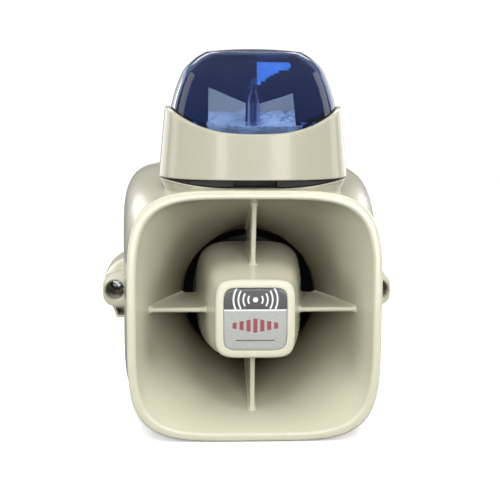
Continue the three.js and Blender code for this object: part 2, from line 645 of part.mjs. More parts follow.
// The black seal that fills the valley under the collar, with a drain notch in the middle of its front.
function strobeSeat() {
  const top = COLLAR_BOTTOM_Z - GAP;
  const bottom = SCOOP_Z + GAP;
  const end = SCOOP_EDGE - 2.2;
  const outline = [[-end, top], [-SCOOP_FLAT, bottom], [SCOOP_FLAT, bottom], [end, top]];
  const edge = { a: COLLAR_A - 1.5, b: COLLAR_B - 1.5 };
  const plan = alongZ([{ z: 60, ...edge }, { z: 70, ...edge }]);
  const wedge = prismY(outline, SEAT_FRONT_Y, -62).intersect(plan);
  const notch = block(-DRAIN_HALF, DRAIN_HALF, SEAT_FRONT_Y - 1, SEAT_FRONT_Y + 6, bottom + 0.5, top - 0.5);
  const posts = [-1, 1].map((side) => rodZ(4.4, side * COLLAR_SCREW_X, STROBE_Y, 60, 70, 16));
  const leadHole = rodZ(3.4, STROBE_LEAD_X, STROBE_Y, 60, 70, 12);
  return wedge.subtract(joined([notch, ...posts, leadHole]));
}

place("strobe_seat", strobeSeat(), blackRubber);

// The lens from its base to its nearly flat top, as [z, half width, half depth].
const LENS_STATIONS = [
  [LENS_BASE_Z, 43.2, 24], [102.5, 41, 21.8], [109.7, 39.1, 20.4], [115.5, 37, 18.8], [121.3, 33.9, 16.5],
  [124.2, 31, 14.9], [127.1, 27.4, 12.8], [129.8, 22.3, 9.6], [130.6, 18.6, 7.4],
];

function strobeLens() {
  const station = ([z, a, b], inset, lower) => ({ z: z - lower, a: a - inset, b: b - inset });
  const outer = alongZ(LENS_STATIONS.map((s) => station(s, 0, 0)));
  const inner = alongZ([
    station(LENS_STATIONS[0], LENS_WALL, 1),
    ...LENS_STATIONS.slice(1, 5).map((s) => station(s, LENS_WALL, 0)),
    ...LENS_STATIONS.slice(5).map((s) => station(s, 1.2, 1.8)),
  ]);
  return outer.subtract(inner);
}

place("strobe_lens", strobeLens(), blueLens);

place("lens_gasket", alongZ([
  { z: 70.3, a: 43.6, b: 24.2 }, { z: 73.1, a: 43.6, b: 24.2 }, { z: 73.1, a: 40.6, b: 21.2 },
  { z: 70.3, a: 40.6, b: 21.2 },
], true), blackRubber);

const strobeBoardHoles = joined([-1, 1].map((side) => rodZ(4, side * COLLAR_SCREW_X, STROBE_Y, 70, 80, 14)));
place("strobe_board", alongZ([
  { z: STROBE_BOARD_Z, a: 39.5, b: 19.5 }, { z: STROBE_BOARD_Z + 1.6, a: 39.5, b: 19.5 },
]).subtract(strobeBoardHoles), boardGreen);

const ON_STROBE_Z = STROBE_BOARD_Z + 1.7;
place("flash_capacitor", rodX(4.8, STROBE_Y + 8, ON_STROBE_Z + 4.9, -22, 12), canBlue);
place("trigger_transformer",
  block(-13, -1, STROBE_Y - 13, STROBE_Y - 3, ON_STROBE_Z, ON_STROBE_Z + 8), filmAmber);

// A shallow polished tray with two upright wings either side of the flash tube.
function strobeReflector() {
  const tray = alongZ([
    { z: TRAY_Z - 0.8, a: 33.5, b: 14.5 }, { z: 93, a: 38.8, b: 19 }, { z: 93.6, a: 38, b: 18.4 },
    { z: TRAY_Z, a: 33, b: 14 },
  ]);
  const wing = (outline) => prismY(outline, STROBE_Y + 5, STROBE_Y + 6);
  const left = wing([[-22.4, 87], [-3.5, 87], [-3.5, 103.6], [-22.4, 111.6]]);
  const right = wing([[3.5, 87], [22.6, 87], [20.4, 108.6], [3.5, 103.3]]);
  const foot = block(-24, 24, STROBE_Y + 2, STROBE_Y + 6, TRAY_Z - 0.5, TRAY_Z + 0.6);
  return tray.add(left).add(right).add(foot)
    .subtract(alongZ([{ z: TRAY_Z, a: 33, b: 14 }, { z: 94, a: 38.4, b: 18.8 }])
      .subtract(left.add(right).add(foot)));
}

place("strobe_reflector", strobeReflector(), polished);

place("tube_socket", block(-4.9, 4.9, STROBE_Y - 5, STROBE_Y + 1.6, TRAY_Z + 0.3, 91)
  .subtract(rodZ(2.4, 0, STROBE_Y - 1.6, 89, 92, 14)), blackPlastic);

const TUBE_Y = STROBE_Y - 1.6;
place("tube_cover", turnedZ([
  [2.1, 89.3], [2.1, 105], [0.8, 109.6], [0.8, 114.2], [0, 114.8], [0, 116.1], [0.8, 115.6], [1.4, 114.2],
  [1.4, 109.8], [2.8, 105.4], [2.8, 91.3], [2.1, 91.3],
], 0, TUBE_Y, 16), clearGlass);

// The arc tube itself, a U with its two legs in the socket.
function arcTube() {
  const legs = 1.05;
  const bend = Array.from({ length: 7 }, (_, i) => {
    const a = (Math.PI * i) / 6;
    return [legs * Math.cos(a), TUBE_Y, 103.5 + legs * Math.sin(a)];
  });
  const leg = (x) => [[x, TUBE_Y, 89.4], [x, TUBE_Y, 96]];
  return bar(through([...leg(legs), ...bend, ...leg(-legs).reverse()]),
    0.7, 18, 6);
}

place("xenon_tube", arcTube(), clearGlass);

// The trigger electrode: a ring round the tube's neck with a tail down to the socket.
function triggerWire() {
  const ring = turnedZ([[1.7, 111.6], [2.4, 111.6], [2.4, 112.6], [1.7, 112.6]], 0, TUBE_Y, 16);
  const tail = bar(through([
    [0, TUBE_Y + 2.1, 112], [0, TUBE_Y + 3.3, 107], [0, TUBE_Y + 3.5, 100], [0, TUBE_Y + 4, 91.5],
  ]), 0.3, 8, 6);
  return ring.add(tail);
}

place("trigger_wire", triggerWire(), steel);

["left", "right"].forEach((side, i) => {
  const x = (2 * i - 1) * COLLAR_SCREW_X;
  const shank = rodZ(1, x, STROBE_Y, 59.8, 74, 8);
  place(`collar_screw_${side}`, shank.add(rodZ(2.6, x, STROBE_Y, 58, 60, 12)), steel);
});

place("strobe_lead", bar(through([
  [STROBE_LEAD_X, STROBE_Y, STROBE_BOARD_Z - GAP], [STROBE_LEAD_X, STROBE_Y, 62], [18, STROBE_Y + 6, 56.5],
  [26, -66, 55], [36, -48, 54], [50, -36, 44], [56, -30, 20], [56, -29, -16], [50, -29, -38],
  [42.5, -28, -47], [42, -28, ON_BOARD_Z + 0.1],
]), 1.3, 40), blackRubber);

export default object;
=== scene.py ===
"""Looks of a wall-mounted alarm siren: a square folded horn in a housing, with a blue strobe on top.

Lengths are in millimetres until a mesh is made, when MM turns them into metres. The wall face is at
Y = 0, the horn looks along -Y and +Z is up, as in the CAD model. A ring is one closed row of points,
and skin() joins a list of rings into a mesh.
"""

import json
import math

import bmesh
import bpy
import numpy as np
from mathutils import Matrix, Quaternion, Vector


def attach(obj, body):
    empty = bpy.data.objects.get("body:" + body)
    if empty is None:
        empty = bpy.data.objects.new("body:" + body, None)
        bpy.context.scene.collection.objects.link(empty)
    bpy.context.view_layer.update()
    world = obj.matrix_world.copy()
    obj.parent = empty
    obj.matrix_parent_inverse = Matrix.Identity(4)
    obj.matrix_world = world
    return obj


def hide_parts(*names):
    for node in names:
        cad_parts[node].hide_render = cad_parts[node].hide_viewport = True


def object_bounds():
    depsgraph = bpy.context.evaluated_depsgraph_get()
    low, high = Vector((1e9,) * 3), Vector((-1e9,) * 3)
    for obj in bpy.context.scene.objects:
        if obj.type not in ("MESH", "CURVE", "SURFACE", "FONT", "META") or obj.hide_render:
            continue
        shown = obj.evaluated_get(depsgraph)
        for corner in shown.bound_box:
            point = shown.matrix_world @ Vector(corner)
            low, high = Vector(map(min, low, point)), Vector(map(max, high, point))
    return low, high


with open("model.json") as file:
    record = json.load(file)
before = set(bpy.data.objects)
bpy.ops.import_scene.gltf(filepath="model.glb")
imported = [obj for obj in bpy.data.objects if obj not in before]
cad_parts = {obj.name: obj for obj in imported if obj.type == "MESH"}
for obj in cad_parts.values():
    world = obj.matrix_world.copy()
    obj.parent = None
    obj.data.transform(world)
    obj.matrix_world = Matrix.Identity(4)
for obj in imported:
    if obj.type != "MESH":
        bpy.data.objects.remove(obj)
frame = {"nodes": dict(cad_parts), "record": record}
cad_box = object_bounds()

MM = 0.001
BODY = "siren"

# Driving dimensions, the same as the CAD part's
WALL = 2.2
GAP = 0.3
MOUTH_Y = -118.0
MOUTH_HALF = 63.0
MOUTH_POWER = 4.6
RIM_WIDTH = 4.2
RIM_BACK_Y = -111.5
THROAT_Y = -54.0
THROAT_R = 35.3
THROAT_FLANGE_R = 42.0
THROAT_FLANGE_Y = -50.3
BOSS_Y = -121.0
BOSS_HALF = 19.5
CUP_BACK_Y = -50.0
CUP_POWER_FRONT = 5.5
LABEL_HALF = 15.4
LABEL_POWER = 7.0
RIB_HALF = 1.2
RIB_FRONT_Y = -98.0
RIB_LEAN = 8.0  # how far the top rib's front edge leans forward on its way to the flare
HOUSING_FRONT_Y = RIM_BACK_Y + GAP
HOUSING_BACK_Y = -5.0
PLATE_FRONT_Y = -3.4
EAR_X = 72.0
EAR_FRONT_Y = -43.0
EAR_BORE_R = 5.1
EAR_BORE_END_Y = -17.0
EAR_HOLE_R = 2.3
STROBE_Y = -88.0
COLLAR_BOTTOM_Z = 67.6
COLLAR_SIDE_Z = 103.2
COLLAR_DIP_Z = 89.9
COLLAR_A = 47.4
COLLAR_B = 28.0
COLLAR_DRAFT = 3.3
STROBE_POWER = 2.6
COLLAR_WALL = 2.4
COLLAR_FLOOR_Z = 70.0
SADDLE_POWER = 2.7
DECK_Z = 67.3
SCOOP_Z = 63.1
SCOOP_FLAT = 22.0
SCOOP_EDGE = 46.0
SEAT_FRONT_Y = -110.2
SEAT_BACK_Y = -62.0
SEAT_END = 43.8
SEAT_INSET = 1.5
DRAIN_HALF = 10.8
DRAIN_DEPTH = 6.0
LENS_WALL = 2.0
TRAY_Z = 87.2
TUBE_Y = STROBE_Y - 1.6
WING_FRONT_Y = STROBE_Y + 5.0
WING_EDGE_X = 23.0  # where the foil outside the reflector's wings turns near black: painted shade with painted light-blue glints
FOOT_TOP_Z = 103.4  # and where the crinkled foot between them ends
GROMMET = {"x": -30.0, "z": -34.0, "r": 7.0}
TAMPER = {"x": 26.0, "z": -44.5, "r": 2.1}
WALL_HOLES = ((0.0, 52.0), (-50.0, -44.0), (50.0, -44.0))

AROUND = 192  # points round a large ring
CORNER_BIAS = 0.1  # draws those points towards the corners
SHARP = 38  # degrees between faces from which an edge stays sharp

SIREN_MIDDLE = (0, -70, 40)
STROBE_MIDDLE = (0, -82, 98)


# ---------------- camera and light

CAMERA_AT = (-37.6, -766.1, 135.3)
CAMERA_LENS = 96.97
CAMERA_YAW = 3.08
CAMERA_PITCH = -8.88
CAMERA_ROLL = 0.35


def aimed(obj, forward, roll=0.0):
    """Turns obj so that its -Z looks along forward."""
    turn = Vector(forward).normalized().to_track_quat("-Z", "Y")
    obj.rotation_mode = "QUATERNION"
    obj.rotation_quaternion = turn @ Quaternion((0, 0, 1), math.radians(roll))


def make_camera():
    data = bpy.data.cameras.new("camera")
    data.sensor_width = 36
    data.lens = CAMERA_LENS
    camera = bpy.data.objects.new("camera", data)
    camera.location = Vector(CAMERA_AT) * MM
    yaw, pitch = math.radians(CAMERA_YAW), math.radians(CAMERA_PITCH)
    aimed(camera, (math.sin(yaw) * math.cos(pitch), math.cos(yaw) * math.cos(pitch), math.sin(pitch)),
          CAMERA_ROLL)
    bpy.context.scene.collection.objects.link(camera)
    bpy.context.scene.camera = camera


def soft_box(name, at, aim, width, height, radiance, mirrored_in=True):
    """An area light at a point, looking at another. Glossy surfaces show it only if mirrored_in."""
    data = bpy.data.lights.new(name, "AREA")
    data.shape = "RECTANGLE"
    data.size = width * MM
    data.size_y = height * MM
    data.energy = radiance * math.pi * data.size * data.size_y
    light = bpy.data.objects.new(name, data)
    light.location = Vector(at) * MM
    light.visible_glossy = mirrored_in
    light.visible_transmission = False
    aimed(light, Vector(aim) - Vector(at))
    bpy.context.scene.collection.objects.link(light)
    return light


SKY = 0.55  # how bright the studio is above the siren, to the rays that light it
GROUND = 0.07  # and below it
SKY_FROM, SKY_TO = -0.3, 0.8  # the heights of a ray between which it turns from one to the other
BACKDROP = 1.05  # how bright the studio shows behind the siren and through its lens


def make_world():
    """A white studio that lights the siren mostly from above.

    The camera sees it as one even backdrop, also where it looks through the lens.
    """
    world = bpy.data.worlds.new("studio")
    bpy.context.scene.world = world
    world.use_nodes = True
    tree = world.node_tree
    tree.nodes.clear()
    new, link = tree.nodes.new, tree.links.new
    out = new("ShaderNodeOutputWorld")
    path = new("ShaderNodeLightPath")
    shown = new("ShaderNodeBackground")
    lit = new("ShaderNodeBackground")
    mix = new("ShaderNodeMixShader")
    shown.inputs["Strength"].default_value = BACKDROP
    shown.inputs["Color"].default_value = (1, 1, 1, 1)
    sky = new("ShaderNodeMapRange")
    place = new("ShaderNodeTexCoord")
    split = new("ShaderNodeSeparateXYZ")
    link(place.outputs["Generated"], split.inputs[0])
    link(split.outputs["Z"], sky.inputs["Value"])
    sky.inputs["From Min"].default_value = SKY_FROM
    sky.inputs["From Max"].default_value = SKY_TO
    sky.inputs["To Min"].default_value = GROUND
    sky.inputs["To Max"].default_value = SKY
    link(sky.outputs["Result"], lit.inputs["Strength"])
    through = new("ShaderNodeMath")
    through.operation = "MAXIMUM"
    link(path.outputs["Is Camera Ray"], through.inputs[0])
    link(path.outputs["Is Transmission Ray"], through.inputs[1])
    link(through.outputs[0], mix.inputs[0])
    link(lit.outputs[0], mix.inputs[1])
    link(shown.outputs[0], mix.inputs[2])
    link(mix.outputs[0], out.inputs["Surface"])


def link_light(light, objects, state):
    """With state INCLUDE light falls on nothing but objects, and with EXCLUDE on all but them."""
    group = bpy.data.collections.new(f"{light.name}_reach")
    for obj in objects:
        group.objects.link(obj)
    light.light_linking.receiver_collection = group
    for member in group.collection_objects:
        member.light_linking.link_state = state


# Small lit cards behind the lens, one under the other, which show in it as one ragged patch
CARD_Y = -62.0
CARD_LEFT = 3.2
CARD_TOP = 125.8
CARD_HEIGHT = 1.7
CARD_WIDTHS = (18.0, 18.6, 17.0, 11.5, 9.0, 6.4, 4.6, 2.2)
CARD_COLOUR = (0.65, 1.0, 0.85)
CARD_RADIANCE = 15.0


def make_lights():
    """Big soft boxes round the siren, and boxes and cards that light only a part of it."""
    middle = SIREN_MIDDLE
    soft_box("key", (-60, -700, 1120), middle, 1300, 800, 3.0, False)
    soft_box("front", (-60, -1300, 480), middle, 900, 700, 3.2, False)
    for name, x, width in (("strip_left", -170, 105), ("strip_right", 185, 160)):
        strip = soft_box(name, (x, -860, 210), middle, width, 640, 4.6)
        link_light(strip, [LENS], "EXCLUDE")
    sheen = soft_box("front_sheen", (-10, -900, -230), middle, 560, 420, 12.0)
    sheen.visible_diffuse = False
    link_light(sheen, [LENS], "EXCLUDE")
    soft_box("side_left", (-950, -150, 300), middle, 400, 900, 2.0)
    soft_box("side_right", (950, -100, 300), middle, 400, 900, 2.4)
    for side, radiance in ((-1, 11.0), (1, 12.5)):
        wing = soft_box(f"wing_{side}", (side * 900, -560, 260), middle, 350, 500, radiance, False)
        link_light(wing, [*HORN, *EARS], "INCLUDE")
    soft_box("behind", (0, 700, 900), middle, 1400, 300, 5.0)
    for side in (-1, 1):
        soft_box(f"backdrop_{side}", (side * 620, 520, 60), middle, 700, 900, 2.2)
    glint = soft_box("lens_glint", (-620, 430, 150), (-30, -88, 105), 90, 420, 12.0)
    link_light(glint, [LENS], "INCLUDE")
    for i, width in enumerate(CARD_WIDTHS):
        x, z = CARD_LEFT + width / 2, CARD_TOP - CARD_HEIGHT * i
        at, towards_lens = (x, CARD_Y, z), (x, CARD_Y - 10, z)
        card = soft_box(f"lens_card_{i}", at, towards_lens, width, CARD_HEIGHT, CARD_RADIANCE, False)
        card.visible_camera = card.visible_diffuse = False
        card.visible_transmission = True
        card.data.color = CARD_COLOUR
        link_light(card, [LENS], "INCLUDE")
    fill = soft_box("strobe_fill", (-60, -600, 420), STROBE_MIDDLE, 300, 300, 84.0, False)
    inside = [frame["nodes"][name] for name in ("xenon_tube", "tube_socket")]
    link_light(fill, [REFLECTOR, *FLASH, *inside], "INCLUDE")


# ---------------- materials


class Nodes:
    """A material's node tree with one Principled shader, and short ways to add to it."""

    def __init__(self, name):
        self.material = bpy.data.materials.new(name)
        self.material.use_nodes = True
        self.tree = self.material.node_tree
        self.tree.nodes.clear()
        self.out = self.add("ShaderNodeOutputMaterial")
        self.shader = self.add("ShaderNodeBsdfPrincipled")
        self.link(self.shader.outputs[0], self.out.inputs["Surface"])
        self.place = self.add("ShaderNodeTexCoord").outputs["Object"]

    def add(self, kind):
        return self.tree.nodes.new(kind)

    def link(self, source, target):
        self.tree.links.new(source, target)

    def set(self, **values):
        """Sets shader sockets: coat_weight=0.2 sets Coat Weight."""
        for key, value in values.items():
            words = key.replace("_", " ").title().replace("Ior", "IOR")
            self.shader.inputs[words].default_value = value

    def noise(self, scale, detail=3.0, rough=0.5, stretch=None):
        node = self.add("ShaderNodeTexNoise")
        node.inputs["Scale"].default_value = scale
        node.inputs["Detail"].default_value = detail
        node.inputs["Roughness"].default_value = rough
        source = self.place
        if stretch:
            turn = self.add("ShaderNodeMapping")
            turn.inputs["Scale"].default_value = stretch
            self.link(source, turn.inputs["Vector"])
            source = turn.outputs[0]
        self.link(source, node.inputs["Vector"])
        return node.outputs["Fac"]

    def span(self, value, low, high, source_low=0.3, source_high=0.7):
        """value, which runs from source_low to source_high, as a number from low to high."""
        node = self.add("ShaderNodeMapRange")
        node.inputs["From Min"].default_value = source_low
        node.inputs["From Max"].default_value = source_high
        node.inputs["To Min"].default_value = low
        node.inputs["To Max"].default_value = high
        self.link(value, node.inputs["Value"])
        return node.outputs["Result"]

    def math(self, what, *values):
        node = self.add("ShaderNodeMath")
        node.operation = what
        for socket, value in zip(node.inputs, values):
            if isinstance(value, (int, float)):
                socket.default_value = value
            else:
                self.link(value, socket)
        return node.outputs[0]

    def blend(self, share, first, second):
        """The colour first where share is 0 and second where it is 1."""
        node = self.add("ShaderNodeMix")
        node.data_type = "RGBA"
        self.link(share, node.inputs["Factor"])
        for key, value in (("A", first), ("B", second)):
            socket = next(s for s in node.inputs if s.name == key and s.type == "RGBA")
            if isinstance(value, tuple):
                socket.default_value = (*value, 1)
            else:
                self.link(value, socket)
        return next(s for s in node.outputs if s.type == "RGBA")

    def axes(self):
        """The point's X, Y and Z in metres."""
        split = self.add("ShaderNodeSeparateXYZ")
        self.link(self.place, split.inputs[0])
        return split.outputs

    def colour(self, source):
        self.link(source, self.shader.inputs["Base Color"])

    def bump(self, heights, strength, distance):
        """Bumps from one height or several, each the height and its share."""
        total = None
        for height, share in heights:
            part = self.math("MULTIPLY", height, share)
            total = part if total is None else self.math("ADD", total, part)
        node = self.add("ShaderNodeBump")
        node.inputs["Strength"].default_value = strength
        node.inputs["Distance"].default_value = distance * MM
        self.link(total, node.inputs["Height"])
        self.link(node.outputs[0], self.shader.inputs["Normal"])


def rgb(red, green, blue):
    """A colour given as 0 to 255 on a screen, in the linear values that shaders take."""
    def linear(v):
        v /= 255
        return v / 12.92 if v <= 0.04045 else ((v + 0.055) / 1.055) ** 2.4
    return tuple(linear(v) for v in (red, green, blue))


def plastic(name, dark, light, rough, grain=2600.0, relief=0.004, coat=0.0, depths=None):
    """Moulded plastic: a faint mottle, a fine spark-eroded grain and slightly uneven gloss.

    If depths is given, its colour turns into depths from the horn's mouth to its throat: painted shade,
    darker where the horn lies in shade.
    """
    n = Nodes(name)
    mottle = n.span(n.noise(350, 5, 0.7), 0, 1, 0.2, 0.8)
    body = n.blend(mottle, dark, light)
    if depths:
        # painted shade: the colour darkens towards the throat, where the horn lies in shade
        deep = n.math("POWER", n.span(n.axes()["Y"], 0.0, 1.0, MOUTH_Y * MM, THROAT_Y * MM), 1.5)
        body = n.blend(deep, body, depths)
    n.colour(body)
    n.link(n.span(n.noise(90, 2), rough - 0.02, rough + 0.03), n.shader.inputs["Roughness"])
    n.bump([(n.noise(grain, 2, 0.6), 1.0)], 0.3, relief)
    n.set(ior=1.5, coat_weight=coat, coat_roughness=0.08)
    return n.material


def metal(name, dark, light, rough, scale=900.0, stretch=(1, 1, 1), relief=0.01):
    """Plated or turned metal with fine scratches."""
    n = Nodes(name)
    scratch = n.noise(scale, 4, 0.7, stretch)
    n.colour(n.blend(n.span(scratch, 0, 1), dark, light))
    n.link(n.span(scratch, rough - 0.08, rough + 0.1), n.shader.inputs["Roughness"])
    n.bump([(scratch, 1.0)], 0.3, relief)
    n.set(metallic=1.0)
    return n.material


def glass(name, tint, lamp_tint, rough, flow=0.02, ior=1.5, edge=0.6, milk=0.0):
    """Clear or tinted plastic or glass, whose wall has a slight wave of height flow.

    Seen at a slant, its colour falls to the share edge of tint and the share milk of it stops being clear.
    Rays from lamps pass with lamp_tint, so that what is inside is lit.
    """
    n = Nodes(name)
    wave = n.noise(45, 2, 0.5)
    slant = n.add("ShaderNodeLayerWeight")
    slant.inputs["Blend"].default_value = 0.5
    deep = n.math("POWER", slant.outputs["Facing"], 2.5)
    body = n.blend(n.span(wave, 0, 1), tuple(0.93 * v for v in tint), tint)
    n.colour(n.blend(deep, body, tuple(edge * v for v in tint)))
    n.link(n.span(n.noise(300, 2), rough, rough + 0.02), n.shader.inputs["Roughness"])
    n.bump([(wave, 1.0)], 0.25, flow)
    n.set(transmission_weight=1.0, ior=ior)
    if milk:
        n.link(n.span(deep, 1.0, 1.0 - milk, 0, 1), n.shader.inputs["Transmission Weight"])
    path = n.add("ShaderNodeLightPath")
    through = n.add("ShaderNodeBsdfTransparent")
    through.inputs["Color"].default_value = (*lamp_tint, 1)
    mix = n.add("ShaderNodeMixShader")
    n.link(path.outputs["Is Shadow Ray"], mix.inputs[0])
    n.link(n.shader.outputs[0], mix.inputs[1])
    n.link(through.outputs[0], mix.inputs[2])
    n.link(mix.outputs[0], n.out.inputs["Surface"])
    return n.material


def foil():
    """Champagne foil: smooth wings and a crinkled foot between them, the foot streaked dark blue as painted
    reflections; outside the wings it is painted near black as shade, with light-blue streaks as painted
    glints.
    """
    n = Nodes("polished_reflector")
    axes = n.axes()
    blur = 0.2
    crinkle = n.noise(70, 5, 0.55, (1, 1, 2.2))
    ragged = n.math("ADD", axes["Z"], n.math("MULTIPLY", n.noise(110, 4, 0.6), 8 * MM))
    low = n.span(ragged, 1.0, 0.0, (FOOT_TOP_Z - blur) * MM, (FOOT_TOP_Z + blur) * MM)
    outer = n.span(n.math("ABSOLUTE", axes["X"]), 0.0, 1.0, (WING_EDGE_X - blur) * MM,
                   (WING_EDGE_X + blur) * MM)
    # thin wavy streaks, used below as painted reflections and painted glints
    streak = n.math("ABSOLUTE", n.math("SUBTRACT", n.noise(95, 4, 0.5, (1, 1, 2.0)), 0.5))
    line = n.span(streak, 1.0, 0.0, 0.006, 0.02)
    wing = n.blend(n.span(n.noise(40, 3), 0, 1), rgb(200, 178, 148), rgb(212, 190, 158))
    foot = n.blend(n.span(crinkle, 0, 1, 0.4, 0.6), rgb(222, 212, 190), rgb(255, 245, 224))
    # dark-blue streaks on the foot: painted reflections
    foot = n.blend(n.math("MULTIPLY", line, 0.6), foot, rgb(60, 78, 120))
    # outside the wings: near black as painted shade, streaked light blue as painted glints
    shade_and_glints = n.blend(line, rgb(22, 24, 34), rgb(120, 150, 205))
    n.colour(n.blend(outer, n.blend(low, wing, foot), shade_and_glints))
    n.link(n.span(low, 0.5, 0.16, 0, 1), n.shader.inputs["Roughness"])
    n.bump([(n.math("MULTIPLY", crinkle, low), 1.0), (n.noise(900, 2), 0.01)], 0.9, 2.2)
    n.set(metallic=0.2)
    return n.material


def label_print():
    """The label: a dark head with a sounding mark, a light rule, and a grey field with a level mark."""
    n = Nodes("label_foil")
    axes = n.axes()
    x = n.math("MULTIPLY", axes["X"], 1 / MM)
    z = n.math("MULTIPLY", axes["Z"], 1 / MM)

    def soft(value, edge, blur=0.08):
        """1 where value is below edge, with a narrow soft edge."""
        return n.span(value, 1.0, 0.0, edge - blur, edge + blur)

    def both(*masks):
        """1 where every one of masks is 1."""
        made = masks[0]
        for m in masks[1:]:
            made = n.math("MULTIPLY", made, m)
        return made

    grain = n.noise(1500, 3)
    field = n.blend(n.span(grain, 0, 1), rgb(133, 135, 131), rgb(150, 152, 149))
    head = n.blend(n.span(grain, 0, 1), rgb(22, 22, 23), rgb(31, 31, 33))
    ink = field
    # the grey field's level mark: a row of seven bars 3.4 mm apart, taller towards its middle
    across = n.math("ABSOLUTE", x)
    along = n.math("FRACT", n.math("ADD", n.math("MULTIPLY", x, 1 / 3.4), 0.5))
    beat = n.math("ABSOLUTE", n.math("SUBTRACT", along, 0.5))
    tall = n.math("SUBTRACT", 3.6, n.math("MULTIPLY", across, 0.2))
    away = n.math("SUBTRACT", n.math("ABSOLUTE", n.math("ADD", z, 3.2)), tall)
    bars = both(soft(beat, 0.3, 0.03), soft(away, 0.0), soft(across, 11.9))
    ink = n.blend(bars, ink, rgb(116, 38, 40))
    rule = both(soft(n.math("ABSOLUTE", n.math("ADD", z, 10.6)), 0.28), soft(across, 9.5))
    ink = n.blend(rule, ink, rgb(48, 48, 50))
    # the head's sounding mark: a dot with arcs on both sides
    up = n.math("SUBTRACT", z, 9.7)
    far = n.math("SQRT", n.math("ADD", n.math("MULTIPLY", x, x), n.math("MULTIPLY", up, up)))
    sides = soft(n.math("SUBTRACT", n.math("ABSOLUTE", up), n.math("MULTIPLY", across, 0.62)), 0.0)
    rings = n.math("ABSOLUTE", n.math("SUBTRACT", n.math("FRACT", n.math("MULTIPLY", far, 1 / 2.4)), 0.5))
    arcs = both(soft(rings, 0.16, 0.03), sides, soft(far, 12.0), n.math("SUBTRACT", 1.0, soft(far, 2.4)))
    mark = n.math("MAXIMUM", arcs, soft(far, 1.25))
    top = n.blend(mark, head, rgb(206, 207, 209))
    ink = n.blend(n.math("SUBTRACT", 1.0, soft(z, 4.9)), ink, top)
    line = soft(n.math("ABSOLUTE", n.math("SUBTRACT", z, 4.5)), 0.38)
    ink = n.blend(line, ink, rgb(198, 199, 200))
    n.colour(ink)
    n.link(n.span(grain, 0.26, 0.4), n.shader.inputs["Roughness"])
    n.bump([(grain, 1.0), (mark, 4.0), (bars, 4.0)], 0.3, 0.01)
    n.set(metallic=0.0, coat_weight=0.4, coat_roughness=0.1)
    return n.material


def board():
    """A circuit board: solder resist over copper tracks."""
    n = Nodes("board_green")
    tracks = n.add("ShaderNodeTexBrick")
    tracks.inputs["Scale"].default_value = 260
    tracks.inputs["Mortar Size"].default_value = 0.03
    n.link(n.place, tracks.inputs["Vector"])
    n.colour(n.blend(tracks.outputs["Fac"], rgb(20, 74, 44), rgb(45, 112, 66)))
    n.link(n.span(n.noise(400), 0.3, 0.45), n.shader.inputs["Roughness"])
    n.bump([(tracks.outputs["Fac"], 1.0)], 0.4, 0.05)
    return n.material


IVORY = (rgb(178, 176, 155), rgb(182, 180, 160))  # the darkest and the lightest of its mottle


def make_materials():
    """Every finish by the record's slot name, and one more for the horn's bell: its ivory plastic with
    painted shade, darker towards the throat.
    """
    return {
        "ivory_plastic": plastic("ivory_plastic", *IVORY, 0.24, coat=0.3),
        # the horn's bell: the ivory with painted shade, turning dark brown towards its throat
        "horn_ivory_painted_shade": plastic("horn_ivory_painted_shade", *IVORY, 0.24, coat=0.3, depths=rgb(72, 67, 45)),
        "black_rubber": plastic("black_rubber", rgb(20, 20, 21), rgb(32, 32, 33), 0.62, 1500, 0.03),
        "black_plastic": plastic("black_plastic", rgb(18, 18, 20), rgb(28, 28, 30), 0.4),
        "pale_nylon": plastic("pale_nylon", rgb(205, 203, 190), rgb(220, 218, 207), 0.42),
        "can_sleeve": plastic("can_sleeve", rgb(22, 34, 70), rgb(30, 46, 92), 0.32),
        "amber_film": plastic("amber_film", rgb(150, 92, 30), rgb(176, 112, 42), 0.3),
        "ferrite": plastic("ferrite", rgb(46, 46, 48), rgb(62, 62, 64), 0.55, 700, 0.05),
        "zinc_steel": metal("zinc_steel", rgb(150, 152, 156), rgb(196, 198, 202), 0.3),
        "copper_wire": metal("copper_wire", rgb(160, 84, 46), rgb(198, 112, 66), 0.3, 1400, (1, 8, 1)),
        "polished_reflector": foil(),
        "clear_glass": glass("clear_glass", rgb(235, 238, 250), (0.8, 0.86, 1.0), 0.0, edge=1.0, milk=1.0),
        "blue_lens": glass("blue_lens", rgb(76, 96, 140), (0.96, 0.98, 1.0), 0.0, 0.004, 1.52, 0.12),
        "label_foil": label_print(),
        "board_green": board(),
    }


# ---------------- mesh helpers


def full_turn(count):
    """Evenly spaced angles once round."""
    return np.linspace(0, 2 * np.pi, count, endpoint=False)


def section(a, b, power, count=AROUND):
    """Points round a rounded rectangle of half width a and half height b."""
    turn = full_turn(count)
    angle = turn + CORNER_BIAS * np.sin(4 * turn)
    c, s = np.cos(angle), np.sin(angle)
    r = ((np.abs(c) / a) ** power + (np.abs(s) / b) ** power) ** (-1 / power)
    return r * c, r * s


def ring_y(y, a, power, b=None, z=0.0):
    """A ring in the plane at y, about the horn's axis."""
    u, v = section(a, a if b is None else b, power)
    return np.column_stack([u, np.full_like(u, y), v + z])


def ring_z(z, a, b, power=STROBE_POWER):
    """A ring in the plane at z, about the strobe's axis. z may differ from point to point."""
    u, v = section(a, b, power)
    return np.column_stack([u, v + STROBE_Y, np.broadcast_to(z, u.shape)])


def turned(profile, at, axis, count=64):
    """Rings of a turned shape, from [radius, place along the axis] pairs. axis is "Y" or "Z"."""
    turn = full_turn(count)
    rings = []
    for r, along in profile:
        u, v, w = r * np.cos(turn), r * np.sin(turn), np.full(count, float(along))
        parts = [u + at[0], w, v + at[1]] if axis == "Y" else [u + at[0], v + at[1], w]
        rings.append(np.column_stack(parts))
    return rings


